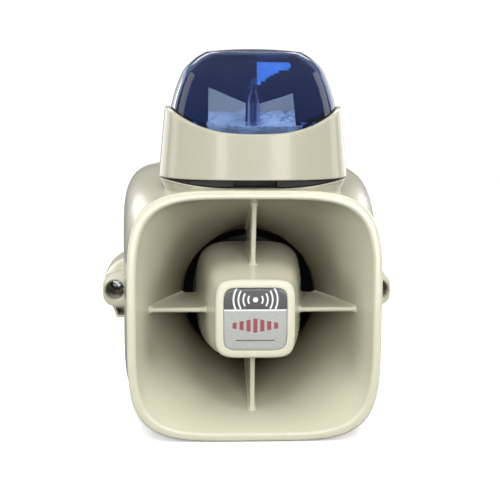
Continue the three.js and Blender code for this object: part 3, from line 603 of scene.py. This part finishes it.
def filleted(corners, steps=6):
    """A line through corners given as (u, v, radius), with each corner rounded to its radius."""
    points = [np.array(c[:2], float) for c in corners]
    made = []
    for i, (p, c) in enumerate(zip(points, corners)):
        radius = c[2] if len(c) > 2 else 0
        if not radius or i in (0, len(points) - 1):
            made.append(p)
            continue
        back, on = points[i - 1] - p, points[i + 1] - p
        reach_back, reach_on = np.linalg.norm(back), np.linalg.norm(on)
        back, on = back / reach_back, on / reach_on
        half = math.acos(float(np.clip(back @ on, -1, 1))) / 2
        reach = min(radius / math.tan(half), 0.49 * reach_back, 0.49 * reach_on)
        start, end = p + back * reach, p + on * reach
        for k in range(steps + 1):
            t = k / steps
            made.append((1 - t) ** 2 * start + 2 * t * (1 - t) * p + t * t * end)
    return made


def eased(stations, count):
    """count rows along a smooth curve through stations, whose first column only ever rises or falls."""
    rows = np.array(stations, float)
    t = rows[:, 0]
    way = 1 if t[-1] > t[0] else -1
    slopes = np.gradient(rows, t, axis=0)
    made = []
    for value in np.linspace(t[0], t[-1], count):
        i = min(max(int(np.searchsorted(way * t, way * value, side="right")) - 1, 0), len(t) - 2)
        h = t[i + 1] - t[i]
        u = (value - t[i]) / h
        made.append((2 * u**3 - 3 * u**2 + 1) * rows[i] + (u**3 - 2 * u**2 + u) * h * slopes[i]
                    + (3 * u**2 - 2 * u**3) * rows[i + 1] + (u**3 - u**2) * h * slopes[i + 1])
    return made


def skin(mesh, rings, looped=False):
    """Adds rings to a bmesh, each joined to the next. A looped list closes on itself, any other is capped."""
    rows = [[mesh.verts.new(Vector(p) * MM) for p in ring] for ring in rings]
    pairs = list(zip(rows, rows[1:] + ([rows[0]] if looped else [])))
    for low, high in pairs:
        for i in range(len(low)):
            j = (i + 1) % len(low)
            mesh.faces.new((low[i], low[j], high[j], high[i]))
    if not looped:
        mesh.faces.new(rows[0])
        mesh.faces.new(rows[-1])


def solid(name, parts):
    """An object in the scene from a list of (rings, looped)."""
    mesh = bmesh.new()
    for rings, looped in parts:
        skin(mesh, rings, looped)
    bmesh.ops.recalc_face_normals(mesh, faces=mesh.faces)
    data = bpy.data.meshes.new(name)
    mesh.to_mesh(data)
    mesh.free()
    obj = bpy.data.objects.new(name, data)
    bpy.context.scene.collection.objects.link(obj)
    return obj


def shade(obj):
    """Shades obj smooth except at its sharp edges."""
    obj.data.polygons.foreach_set("use_smooth", [True] * len(obj.data.polygons))
    obj.data.set_sharp_from_angle(angle=math.radians(SHARP))


def piece(name, parts, slot, stands_for, looks=None):
    """A visible piece from a list of (rings, looped), for the CAD nodes named.

    It gets the slot's material, or looks in its place.
    """
    obj = solid(name, parts)
    shade(obj)
    obj.data.materials.append(looks or MATERIALS[slot])
    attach(obj, BODY)
    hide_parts(*stands_for)
    return obj


def cut(obj, parts):
    """Cuts the closed shapes given as (rings, looped) out of obj."""
    for i, part in enumerate(parts):
        cutter = solid(f"cutter_{i}", [part])
        modifier = obj.modifiers.new("cut", "BOOLEAN")
        modifier.operation = "DIFFERENCE"
        modifier.object = cutter
        modifier.solver = "EXACT"
        modifier.use_self = True
        shaped = bpy.data.meshes.new_from_object(obj.evaluated_get(bpy.context.evaluated_depsgraph_get()))
        obj.modifiers.clear()
        obj.data = shaped
        bpy.data.objects.remove(cutter)
    shade(obj)


def mirrored(parts):
    """The same parts on the other side of the siren's middle plane."""
    return [([np.asarray(r) * (-1, 1, 1) for r in rings], looped) for rings, looped in parts]


# ---------------- horn


def flare(s):
    """The flare's y, inner half width and power, from the mouth at s = 0 to the throat at s = 1."""
    start = MOUTH_Y + 1
    mouth = MOUTH_HALF - RIM_WIDTH
    y = start + (THROAT_Y - start) * s
    a = mouth - (mouth - THROAT_R) * (0.8 * s + 0.2 * s * s)
    return y, a, 2 + (MOUTH_POWER - 2) * (1 - s) ** 1.4


def flare_at(y):
    """The flare's inner half width and power at y."""
    s = min(max((y - MOUTH_Y - 1) / (THROAT_Y - MOUTH_Y - 1), 0), 1)
    return flare(s)[1:]


def horn_bell():
    """The square horn: its rolled rim, its flare, the flange round its throat and its back."""
    steps = np.linspace(0.035, 1, 40)
    rim = filleted([
        (RIM_BACK_Y, MOUTH_HALF - RIM_WIDTH + 1.2), (RIM_BACK_Y, MOUTH_HALF, 0.5),
        (MOUTH_Y, MOUTH_HALF, 1.5), (MOUTH_Y, MOUTH_HALF - RIM_WIDTH, 1.7), flare(0.06)[:2],
    ], 8)
    rings = [ring_y(y, a, MOUTH_POWER if y < -116.4 or a > 59.4 else flare_at(y)[1]) for y, a in rim[:-1]]
    rings += [ring_y(*flare(s)) for s in steps if s > 0.06]
    rings += [ring_y(y, a, 2) for y, a in filleted([
        (THROAT_Y, THROAT_R), (THROAT_FLANGE_Y, THROAT_R, 0.4), (THROAT_FLANGE_Y, THROAT_FLANGE_R, 0.5),
        (-53, THROAT_FLANGE_R, 0.5), (-53, THROAT_R + 3),
    ], 4)[1:]]
    for s in steps[::-1][3:-1]:
        y, a, power = flare(s)
        rings.append(ring_y(y, a + 2.4, power))
    # the bell's material has painted shade, darker towards its throat
    return piece("horn_bell_shell", [(rings, True)], "ivory_plastic", ["horn_bell"],
                 looks=MATERIALS["horn_ivory_painted_shade"])


CUP_STATIONS = [  # y, half width and power
    (-117.5, 19.85, 5.45), (-98, 23.2, 4.8), (-76, 26.2, 4.3), (-53, 28.0, 4.05), (CUP_BACK_Y, 28.2, 4),
]


def cup_at(y):
    """The cup's outer half width and power at y."""
    rows = np.array(CUP_STATIONS)
    return np.interp(y, rows[:, 0], rows[:, 1]), np.interp(y, rows[:, 0], rows[:, 2])


def cup_shell():
    """The cup: a boss with the label's recess, its outside, and its hollow, open to the back."""
    face = LABEL_HALF + GAP
    front = filleted([
        (BOSS_Y + 1, face - 6), (BOSS_Y + 1, face, 0.15), (BOSS_Y, face, 0.3), (BOSS_Y, BOSS_HALF, 1.5),
        CUP_STATIONS[0][:2],
    ], 7)
    spread = (face + 1, BOSS_HALF - 1)
    rings = []
    for y, a in front[:-1]:
        share = min(max((a - spread[0]) / (spread[1] - spread[0]), 0), 1)
        rings.append(ring_y(y, a, LABEL_POWER + (CUP_POWER_FRONT - LABEL_POWER) * share))
    outer = [ring_y(*row) for row in eased(CUP_STATIONS, 30)]
    inner = [ring_y(y, a - WALL, power) for y, a, power in eased(CUP_STATIONS[::-1], 16)]
    inner[-1] = ring_y(BOSS_Y + 3, BOSS_HALF - WALL, CUP_POWER_FRONT)
    back = [ring_y(CUP_BACK_Y, 27.4, 4), ring_y(CUP_BACK_Y, 26.6, 4)]
    return [(rings + outer + back + inner[1:], False)]


def rib(turn, reach=0.0):
    """One rib from the cup to the flare, its ends sunk in their walls.

    Its front edge leans forward by reach on its way to the flare.
    """
    sink = 1.2
    back = THROAT_Y - 1
    bends = [math.pi * k / 12 for k in range(13)]
    nose = [(-RIB_HALF * math.cos(bend), RIB_FRONT_Y + RIB_HALF * (1 - math.sin(bend))) for bend in bends]
    depths = np.linspace(RIB_FRONT_Y + 2.2, back, 24)
    outline = [(-RIB_HALF, y) for y in depths[::-1]] + nose + [(RIB_HALF, y) for y in depths]
    rings = []
    for share in np.concatenate([np.linspace(0, 0.12, 7), np.linspace(0.2, 0.8, 8), np.linspace(0.88, 1, 7)]):
        ring = []
        for across, y in outline:
            y -= reach * share * (back - y) / (back - RIB_FRONT_Y)
            inner, outer = cup_at(y)[0] - sink, flare_at(y)[0] + sink
            out = inner + (outer - inner) * share
            ends = min(out - inner - sink, outer - sink - out)
            swell = 1 + 0.9 * math.exp(-max(ends, 0) / 0.7)
            ring.append((across * swell, y, out))
        u, y, r = np.array(ring).T
        c, s = math.cos(turn), math.sin(turn)
        rings.append(np.column_stack([r * c - u * s, y, r * s + u * c]))
    return rings, False


def horn_cup():
    ribs = [rib(math.radians(90 * k), RIB_LEAN if k == 1 else 0) for k in range(4)]
    return piece("horn_cup_and_ribs", cup_shell() + ribs, "ivory_plastic", ["horn_cup"])


def label():
    front, back = BOSS_Y + 0.2, BOSS_Y + 0.9
    rings = [ring_y(front, s * LABEL_HALF, LABEL_POWER) for s in (0.05, 0.5, 0.9)]
    rings += [ring_y(y, a, LABEL_POWER) for y, a in filleted([
        (front, 0.9 * LABEL_HALF), (front, LABEL_HALF, 0.12), (back, LABEL_HALF), (back, 0.9 * LABEL_HALF),
    ], 3)[1:]]
    return piece("label", [(rings, False)], "label_foil", ["label_plate"])


# ---------------- housing

HOUSING_STATIONS = [  # y, half width, top, bottom and power
    (-111.2, 62.1, 62.1, -62.1, 4.6), (-100, 63.1, 63.1, -62.3, 4.9), (-70, 65.8, 65.6, -62.6, 5.8),
    (-32, 67.6, 67.3, -62.8, 7), (-9, 67.6, 67.3, -62.8, 7),
]


def housing_ring(station, inset):
    """A ring of the housing's skin at a station, taken in by inset."""
    y, a, top, bottom, power = station
    return ring_y(y, a - inset, power, (top - bottom) / 2 - inset, (top + bottom) / 2)


def housing_shell():
    """The box behind the horn, open at its front and its back."""
    outer = eased(HOUSING_STATIONS, 40)
    last = outer[-1]
    back = [(-8, 0.06), (-7, 0.25), (-6, 0.62), (-5.3, 0.95), (HOUSING_BACK_Y, 1.2)]
    rings = [housing_ring((HOUSING_FRONT_Y, *outer[0][1:]), WALL), housing_ring(outer[0], 0.5)]
    rings += [housing_ring((outer[0][0] + 0.4, *outer[0][1:]), 0.05)]
    rings += [housing_ring(row, 0) for row in outer[1:]]
    rings += [housing_ring((y, *last[1:]), inset) for y, inset in back]
    rings += [housing_ring((HOUSING_BACK_Y, *last[1:]), WALL)]
    rings += [housing_ring(row, WALL) for row in outer[::-1][:-1]]
    return rings, True


def scoop(x):
    """Height of the valley under the collar, with its corners eased."""
    away = np.abs(x)
    slope = (DECK_Z - SCOOP_Z) / (SCOOP_EDGE - SCOOP_FLAT)
    soft = 5.0
    rise = slope * soft * np.log1p(np.exp((away - SCOOP_FLAT) / soft))
    return np.minimum(SCOOP_Z + rise - slope * soft * math.log1p(math.exp(-SCOOP_FLAT / soft)), DECK_Z)


PEDESTAL_Z = (45.0, 58.0, 63.0, DECK_Z)
PEDESTAL_A = (38.0, 42.8, 45.1, 47.0)
PEDESTAL_B = (24.0, 26.3, 27.0, 27.6)
PEDESTAL_EDGE = 0.5  # how softly its flanks turn into its front


def pedestal_ring(z, inset=0.0, share=1.0):
    """A ring of the pedestal's plan at z, taken in by inset and shrunk to share.

    Its front is flush with the housing's front edge.
    """
    u, v = section(1, 1, STROBE_POWER)
    a, b = np.interp(z, PEDESTAL_Z, PEDESTAL_A), np.interp(z, PEDESTAL_Z, PEDESTAL_B)
    x, y = u * (a - inset) * share, v * (b - inset) * share
    front = HOUSING_FRONT_Y - STROBE_Y + 0.35
    y = front + PEDESTAL_EDGE * np.logaddexp(0, (y - front) / PEDESTAL_EDGE)
    return np.column_stack([x, y + STROBE_Y, np.broadcast_to(z, x.shape)])


def housing_top(x, y):
    """Height of the housing's skin over a point of its plan."""
    rows = np.array(HOUSING_STATIONS)
    a, top, bottom, power = (np.interp(y, rows[:, 0], rows[:, k]) for k in (1, 2, 3, 4))
    rise = (1 - np.minimum(np.abs(x) / a, 0.999) ** power) ** (1 / power)
    return (top + bottom) / 2 + (top - bottom) / 2 * rise


def pedestal():
    """The seat of the strobe: its flanks sweep up from the housing to the valley's edge."""
    lip = 0.8
    rings = []
    for share in np.linspace(0, 1, 14):
        z = np.full(AROUND, 62.0)
        for _ in range(6):
            ring = pedestal_ring(z)
            foot = housing_top(ring[:, 0], ring[:, 1]) - 1.2
            edge = scoop(ring[:, 0]) - lip
            foot = np.minimum(foot, edge - 0.4)
            z = foot + (edge - foot) * share
        rings.append(pedestal_ring(z))
    for k in range(1, 6):
        turn = math.pi / 2 * k / 5
        ring = pedestal_ring(DECK_Z, lip * (1 - math.cos(turn)))
        ring[:, 2] = scoop(ring[:, 0]) - lip + lip * math.sin(turn)
        rings.append(ring)
    for share in (0.97, 0.92, 0.84, 0.7, 0.5, 0.25, 0.03):
        ring = pedestal_ring(DECK_Z, lip, share)
        ring[:, 2] = scoop(ring[:, 0])
        rings.append(ring)
    return rings, False


def housing():
    return piece("housing_shell", [housing_shell(), pedestal()], "ivory_plastic", ["housing"])


def outline_radius(outline, centre, turn):
    """How far outline is from centre in the direction turn. The outline goes once round centre."""
    d = np.array([math.cos(turn), math.sin(turn)])
    for i in range(len(outline)):
        p = np.array(outline[i], float) - centre
        e = np.array(outline[(i + 1) % len(outline)], float) - centre - p
        cross = d[0] * e[1] - d[1] * e[0]
        if abs(cross) < 1e-9:
            continue
        t = (p[0] * e[1] - p[1] * e[0]) / cross
        s = (p[0] * d[1] - p[1] * d[0]) / cross
        if t > 0 and -1e-9 <= s <= 1 + 1e-9:
            return t
    raise ValueError("the outline doesn't go round its centre")


def rays(outline, centre, count=96, passes=3):
    """The outline's radius at count even angles, its corners rounded by a few passes of smoothing."""
    turns = full_turn(count)
    r = np.array([outline_radius(outline, np.array(centre, float), t) for t in turns])
    for _ in range(passes):
        r = 0.25 * np.roll(r, 1) + 0.5 * r + 0.25 * np.roll(r, -1)
    return turns, r


def around(centre, turns, radii, y):
    """A ring in the plane at y, from its radii at the angles turns."""
    return np.column_stack([
        centre[0] + radii * np.cos(turns), np.full_like(turns, y), centre[1] + radii * np.sin(turns),
    ])


EAR_ROOT_X = 65.4  # inside the housing's wall
EAR_BOSS = [
    (EAR_ROOT_X, 10.2), (71, 9.4), (76.2, 7.9), (78.4, 5), (79, 0), (78.4, -5), (76.2, -7.6), (73, -9),
    (EAR_ROOT_X, -9),
]
EAR_LIP = [(EAR_ROOT_X, -8.3), (74, -8.3), (71.6, -15.8), (EAR_ROOT_X, -15.8)]
EAR_POCKET = [(66.6, -10.4), (71.9, -10.4), (70.3, -14.5), (66.6, -14.5)]


def ear():
    """The parts of the right ear: a boss with a deep chamfered bore and a hollow lip below, then the round
    shoulder over them, which still needs the bore cut out.
    """
    centre = (EAR_X, 0)
    turns, reach = rays(EAR_BOSS, centre)
    bore = filleted([
        (HOUSING_BACK_Y, EAR_HOLE_R), (EAR_BORE_END_Y, EAR_HOLE_R, 0.2), (EAR_BORE_END_Y, EAR_BORE_R, 0.3),
        (EAR_FRONT_Y + 1.1, EAR_BORE_R, 0.3), (EAR_FRONT_Y, EAR_BORE_R + 0.9, 0.15),
    ], 4)
    rings = [around(centre, turns, np.full_like(turns, r), y) for y, r in bore]
    for inset, drop in ((0.75, 0), (0.45, 0.06), (0.2, 0.22), (0.05, 0.45), (0, 0.8)):
        rings.append(around(centre, turns, np.maximum(reach - inset, EAR_BORE_R + 1.0), EAR_FRONT_Y + drop))
    rings += [around(centre, turns, reach, y) for y in (-30, -15, HOUSING_BACK_Y - 0.6)]
    rings.append(around(centre, turns, reach - 0.6, HOUSING_BACK_Y))
    boss = (rings, True)

    arc = np.radians(np.linspace(-6, 76, 40))
    shoulder = []
    for y, r in (
        (-35, 10), (-35, 12.5), (-34.7, 13.9), (-34, 15.2), (-32.8, 16.2), (-31.2, 16.8), (-29.4, 17),
        (-12, 17), (HOUSING_BACK_Y - 0.5, 17), (HOUSING_BACK_Y, 16.5),
    ):
        xs = np.concatenate([61.8 + r * np.cos(arc), [EAR_ROOT_X, EAR_ROOT_X]])
        zs = np.concatenate([r * np.sin(arc), [r * math.sin(arc[-1]), r * math.sin(arc[0])]])
        shoulder.append(np.column_stack([np.maximum(xs, EAR_ROOT_X), np.full_like(xs, y), zs]))

    middle = (69.0, -12.4)
    turns, outer = rays(EAR_LIP, middle, 72, 1)
    turns, inner = rays(EAR_POCKET, middle, 72, 1)
    front = EAR_FRONT_Y + 4
    lip = [around(middle, turns, inner * k, -25) for k in (0.1, 0.6, 1)]
    lip += [around(middle, turns, r, y) for r, y in (
        (inner, front + 0.3), (inner + 0.15, front + 0.05), (inner + 0.35, front), (outer - 0.4, front),
        (outer - 0.12, front + 0.12), (outer, front + 0.4), (outer, HOUSING_BACK_Y),
        (outer * 0.5, HOUSING_BACK_Y),
    )]
    return [boss, (lip, False)], [(shoulder, False)]


def ears():
    """Both ears, each a moulding and a shoulder."""
    moulding, shoulder = ear()
    bore = [(turned([(EAR_BORE_R + 0.4, -50), (EAR_BORE_R + 0.4, 5)], (EAR_X, 0), "Y", 96), False)]
    made = []
    for side, placed in (("right", list), ("left", mirrored)):
        made.append(piece(f"ear_moulding_{side}", placed(moulding), "ivory_plastic", [f"ear_{side}"]))
        over = piece(f"ear_shoulder_{side}", placed(shoulder), "ivory_plastic", [f"ear_{side}"])
        cut(over, placed(bore))
        made.append(over)
    return made


def ear_screws():
    """Pan heads with a cross recess at the bottom of the bores."""
    head_y = EAR_BORE_END_Y - GAP
    profile = filleted([
        (0.05, head_y - 3.0), (2.4, head_y - 2.95, 0.8), (4.2, head_y - 1.9, 1.0), (4.3, head_y, 0.2),
        (1.9, head_y, 0.2), (1.9, -2.4), (1.2, -1.4), (0.05, -1.4),
    ], 5)
    for side, x in (("left", -EAR_X), ("right", EAR_X)):
        obj = piece(f"ear_screw_{side}_head", [(turned(profile, (x, 0), "Y", 48), False)], "zinc_steel",
                    [f"ear_screw_{side}"])
        cross = []
        for wide, high in ((2.3, 0.42), (0.42, 2.3)):
            rings = []
            for y, scale in ((head_y - 3.4, 1.15), (head_y - 1.1, 0.55)):
                u = np.array([-wide, wide, wide, -wide]) * (scale if wide > 1 else 1)
                v = np.array([-high, -high, high, high]) * (scale if high > 1 else 1)
                rings.append(np.column_stack([u + x, np.full(4, y), v]))
            cross.append((rings, False))
        cut(obj, cross)


# ---------------- wall plate


def wall_plate():
    """The plate behind the box, with the lip that locates it, two lobes behind the ears and its holes."""
    edge = HOUSING_STATIONS[-1]
    rings = [housing_ring((y, *edge[1:]), inset) for y, inset in (
        (PLATE_FRONT_Y, 20), (PLATE_FRONT_Y, 0.6), (PLATE_FRONT_Y + 0.12, 0.32), (PLATE_FRONT_Y + 0.5, 0.2),
        (-1.0, 0.2), (-0.5, 0.4), (-0.15, 0.8), (0, 1.3), (0, 20),
    )]
    lip = WALL + 1.5
    locator = [housing_ring((y, *edge[1:]), inset) for y, inset in (
        (-9, lip), (PLATE_FRONT_Y + 1, lip), (PLATE_FRONT_Y + 1, lip + 1.8), (-9, lip + 1.8))]
    lobes = []
    for side in (-1, 1):
        profile = filleted([
            (0.05, PLATE_FRONT_Y), (9, PLATE_FRONT_Y, 0.3), (9, 0, 0.7), (0.05, 0),
        ], 4)
        lobes.append((turned(profile, (side * (EAR_X - 2.6), 0), "Y", 64), False))
    plate = piece("wall_plate_moulding", [(rings, False), (locator, True), *lobes], "ivory_plastic",
                  ["wall_plate"])
    holes = []
    for x, z in WALL_HOLES:
        holes.append((turned([(2.6, -10), (2.6, -1.1), (3.6, 1)], (x, z), "Y", 40), False))
    for x, z, r in ((GROMMET["x"], GROMMET["z"], GROMMET["r"]), (TAMPER["x"], TAMPER["z"], TAMPER["r"]),
                    (EAR_X, 0, 2.2), (-EAR_X, 0, 2.2)):
        holes.append((turned([(r, -10), (r, 1)], (x, z), "Y", 40), False))
    cut(plate, holes)


def grommet():
    """A cable grommet with a thin bead round its mouth."""
    r = GROMMET["r"]
    profile = filleted([
        (4, -6.8), (4, -0.2, 0.5), (r - 0.3, -0.2, 0.6), (r - 0.3, PLATE_FRONT_Y - 0.3, 0.2),
        (r + 2, PLATE_FRONT_Y - 0.3, 0.4), (r + 1, -6.8, 0.5), (4, -6.8),
    ], 4)
    rings = turned(profile[:-1], (GROMMET["x"], GROMMET["z"]), "Y", 56)
    piece("grommet", [(rings, True)], "black_rubber", ["cable_grommet"])


# ---------------- strobe


def collar_plan(z, inset):
    """X and Y of the collar's points at z, taken in by inset."""
    draft = COLLAR_DRAFT * (z - COLLAR_BOTTOM_Z) / (COLLAR_SIDE_Z - COLLAR_BOTTOM_Z)
    u, v = section(1, 1, STROBE_POWER)
    a, b = COLLAR_A - draft - inset, COLLAR_B - draft - inset
    return u * a, v * b + STROBE_Y


def collar_top():
    """Height of the collar's edge at each point of its plan."""
    z = np.full(AROUND, COLLAR_DIP_Z)
    for _ in range(4):
        x, _y = collar_plan(z, 0)
        z = COLLAR_DIP_Z + (COLLAR_SIDE_Z - COLLAR_DIP_Z) * np.minimum(1, np.abs(x) / 45.4) ** SADDLE_POWER
    return z


def collar():
    """The band round the lens: its floor, its outside, its dipped top edge and its inside."""
    top = collar_top()
    foot, soft, inner_soft = 0.7, 0.95, 0.6  # how its lower and upper edges are rounded

    def at(z, inset):
        x, y = collar_plan(z, inset)
        return np.column_stack([x, y, np.broadcast_to(z, x.shape)])

    rings = [at(COLLAR_BOTTOM_Z, inset) for inset in (20, 8, 2)]
    for k in range(6):
        t = math.pi / 2 * k / 5
        rings.append(at(COLLAR_BOTTOM_Z + foot * (1 - math.cos(t)), foot * (1 - math.sin(t))))
    low = COLLAR_BOTTOM_Z + foot
    for share in np.linspace(0.06, 1, 18):
        rings.append(at(low + (top - soft - low) * share, 0))
    for k in range(1, 7):
        t = math.pi / 2 * k / 6
        rings.append(at(top - soft * (1 - math.sin(t)), soft * (1 - math.cos(t))))
    for k in range(0, 6):
        t = math.pi / 2 * (1 - k / 6)
        rings.append(at(top - inner_soft * (1 - math.sin(t)), COLLAR_WALL - inner_soft * (1 - math.cos(t))))
    high = top - inner_soft
    for share in np.linspace(0, 1, 10):
        rings.append(at(high + (COLLAR_FLOOR_Z - high) * share, COLLAR_WALL))
    rings += [at(COLLAR_FLOOR_Z, inset) for inset in (8, 20)]
    piece("strobe_collar_band", [(rings, False)], "ivory_plastic", ["strobe_collar"])


def seat():
    """The black seal in the valley under the collar, with a drain notch in the middle of its front. It is
    painted shade: a dark piece put in the gap under the collar, where shade falls.
    """
    top, front = COLLAR_BOTTOM_Z - GAP, SEAT_FRONT_Y
    flank = np.linspace(DRAIN_HALF + 0.01, SEAT_END, 40)
    xs = np.concatenate([-flank[::-1], np.linspace(-DRAIN_HALF, DRAIN_HALF, 16), flank])
    a, b = COLLAR_A - SEAT_INSET, COLLAR_B - SEAT_INSET
    rings = []
    for x in xs:
        low = float(scoop(np.array(x))) + 0.15
        high = max(top, low + 0.05)
        plan = b * (1 - (abs(x) / a) ** STROBE_POWER) ** (1 / STROBE_POWER)
        face = max(front + (DRAIN_DEPTH if abs(x) <= DRAIN_HALF else 0), STROBE_Y - plan)
        back = min(SEAT_BACK_Y, STROBE_Y + plan)
        soft = min(0.5, 0.3 * (high - low))
        rings.append(np.array([(x, face + soft, low), (x, face, low + soft), (x, face, high - soft),
                               (x, face + soft, high), (x, back, high), (x, back, low)]))
    # painted shade: the black seal darkens the gap under the collar
    piece("seat_seal_painted_shade", [(rings, False)], "black_rubber", ["strobe_seat"])


LENS_STATIONS = [  # z and the half widths along X and Y
    (73.4, 43.2, 24), (88, 42.3, 23.0), (102.5, 41, 21.8), (109.7, 39.1, 20.4), (115.5, 37, 18.8),
    (121.3, 33.9, 16.5), (124.2, 31, 14.9), (127.1, 27.4, 12.8), (129.2, 23.6, 10.4),
]
LENS_TOP_Z = 130.6


def dome(inset, drop):
    """Rings of the lens's surface from its base to its crown, taken in by inset and lowered by drop."""
    rows = eased(LENS_STATIONS, 64)
    base = LENS_STATIONS[0][0]
    height = LENS_TOP_Z - base
    rings = [ring_z(z - drop * (z - base) / height, a - inset, b - inset * 0.9) for z, a, b in rows]
    a, b = rows[-1][1] - inset, rows[-1][2] - inset * 0.9
    crown, rise = rows[-1][0], LENS_TOP_Z - rows[-1][0]
    for share in (0.94, 0.87, 0.79, 0.7, 0.6, 0.48, 0.34, 0.18, 0.03):
        lift = rise * (1 - share ** 2.2)
        rings.append(ring_z(crown + lift - drop, a * share, b * share))
    return rings


def lens():
    """The blue dome with its inner wall."""
    rings = dome(0, 0) + dome(LENS_WALL, 1.9)[::-1]
    return piece("lens_dome", [(rings, True)], "blue_lens", ["strobe_lens"])


def reflector():
    """The foil tray and the two upright wings behind the flash tube."""
    tray = [ring_z(z, a, b) for z, a, b in (
        (TRAY_Z - 0.8, 2, 1), (TRAY_Z - 0.8, 33.2, 14.2), (TRAY_Z - 0.5, 33.8, 14.8), (92.8, 38.6, 18.8),
        (93.4, 38.8, 19), (93.6, 38.4, 18.7), (93.2, 37.9, 18.3), (TRAY_Z + 0.3, 33.2, 14.1),
        (TRAY_Z, 32.5, 13.5), (TRAY_Z, 20, 8), (TRAY_Z, 2, 1))]
    parts = [(tray, False)]
    for outline in ([(-22.4, TRAY_Z), (-3.5, TRAY_Z), (-3.5, 103.6), (-22.4, 111.6)],
                    [(3.5, TRAY_Z), (22.6, TRAY_Z), (20.4, 108.6), (3.5, 103.3)]):
        centre = np.mean(outline, axis=0)
        rings = []
        for depth, shrink in ((0, 0.6), (0, 0.992), (0.12, 1.0), (0.88, 1.0), (1, 0.992), (1, 0.6)):
            corners = centre + (np.array(outline) - centre) * shrink
            rings.append(np.column_stack([corners[:, 0], np.full(4, WING_FRONT_Y + depth), corners[:, 1]]))
        parts.append((rings, False))
    return piece("reflector", parts, "polished_reflector", ["strobe_reflector"])


def flash_tube():
    """The bottle-shaped envelope, and the electrode: a loop round its neck with a tail down its back."""
    cover = filleted([
        (2.1, 89.3), (2.1, 104.8, 0.8), (0.8, 109.6, 0.6), (0.8, 114.0, 0.3), (0.05, 114.6), (0.05, 116.1),
        (0.9, 115.6, 0.5), (1.4, 114.2, 0.6), (1.4, 109.9, 0.8), (2.8, 105.2, 1.2), (2.8, 91.3), (2.1, 91.3),
    ], 5)
    envelope = piece("tube_envelope", [(turned(cover, (0, TUBE_Y), "Z", 48), True)], "clear_glass",
                     ["tube_cover"])
    ring = [(2.05 + 0.38 * math.cos(t), 112.1 + 0.5 * math.sin(t)) for t in full_turn(12)]
    loop = turned(ring, (0, TUBE_Y), "Z", 48)
    path = eased([(112.0, 2.35), (109, 2.9), (104, 3.4), (98, 3.7), (91.5, 4.0)], 20)
    turn = full_turn(10)
    tail = []
    for z, back in path:
        tail.append(np.column_stack([0.3 * np.cos(turn), TUBE_Y + back + 0.3 * np.sin(turn), np.full(10, z)]))
    return envelope, piece("trigger_electrode", [(loop, True), (tail, False)], "zinc_steel", ["trigger_wire"])


# ---------------- the rest


def dress_cad_nodes():
    """Gives each CAD node that still shows its slot's material."""
    slots = {part["node"]: part["material_slot"] for part in frame["record"]["subparts"]}
    for name, obj in frame["nodes"].items():
        if obj.hide_render:
            continue
        slot = slots[name]
        obj.data.materials.clear()
        obj.data.materials.append(MATERIALS[slot])


FLOOR_HALF = 1600.0
FLOOR_DROP = 0.2  # how far below the siren it lies
FLOOR_BOUNCE = 0.12  # how light it is to the rays that light the siren
FLOOR_FADE = (350.0, 1300.0)  # how far out it starts to fade and is gone


def make_floor():
    """A plain white floor just under the siren, which fades into the backdrop."""
    data = bpy.data.meshes.new("floor")
    half, z = FLOOR_HALF * MM, cad_box[0].z - FLOOR_DROP * MM
    corners = [(-half, -half, z), (half, -half, z), (half, half, z), (-half, half, z)]
    data.from_pydata(corners, [], [(0, 1, 2, 3)])
    floor = bpy.data.objects.new("floor", data)
    bpy.context.scene.collection.objects.link(floor)
    n = Nodes("floor")
    path = n.add("ShaderNodeLightPath")
    seen = path.outputs["Is Camera Ray"]
    white = n.blend(n.span(n.noise(3), 0, 1), (0.93, 0.93, 0.93), (0.96, 0.96, 0.96))
    n.colour(n.blend(seen, (FLOOR_BOUNCE,) * 3, white))
    n.set(roughness=0.7, emission_color=(1, 1, 1, 1))
    n.link(n.math("MULTIPLY", seen, 0.35), n.shader.inputs["Emission Strength"])
    away = n.add("ShaderNodeVectorMath")
    away.operation = "LENGTH"
    n.link(n.place, away.inputs[0])
    near, far = FLOOR_FADE
    n.link(n.span(away.outputs["Value"], 1, 0, near * MM, far * MM), n.shader.inputs["Alpha"])
    data.materials.append(n.material)


bpy.context.scene.view_settings.view_transform = "Standard"
make_camera()
make_world()
MATERIALS = make_materials()

HORN = (horn_bell(), horn_cup(), label())
housing()
EARS = ears()
ear_screws()
wall_plate()
grommet()
collar()
seat()
LENS = lens()
REFLECTOR = reflector()
FLASH = flash_tube()
dress_cad_nodes()
make_lights()
make_floor()
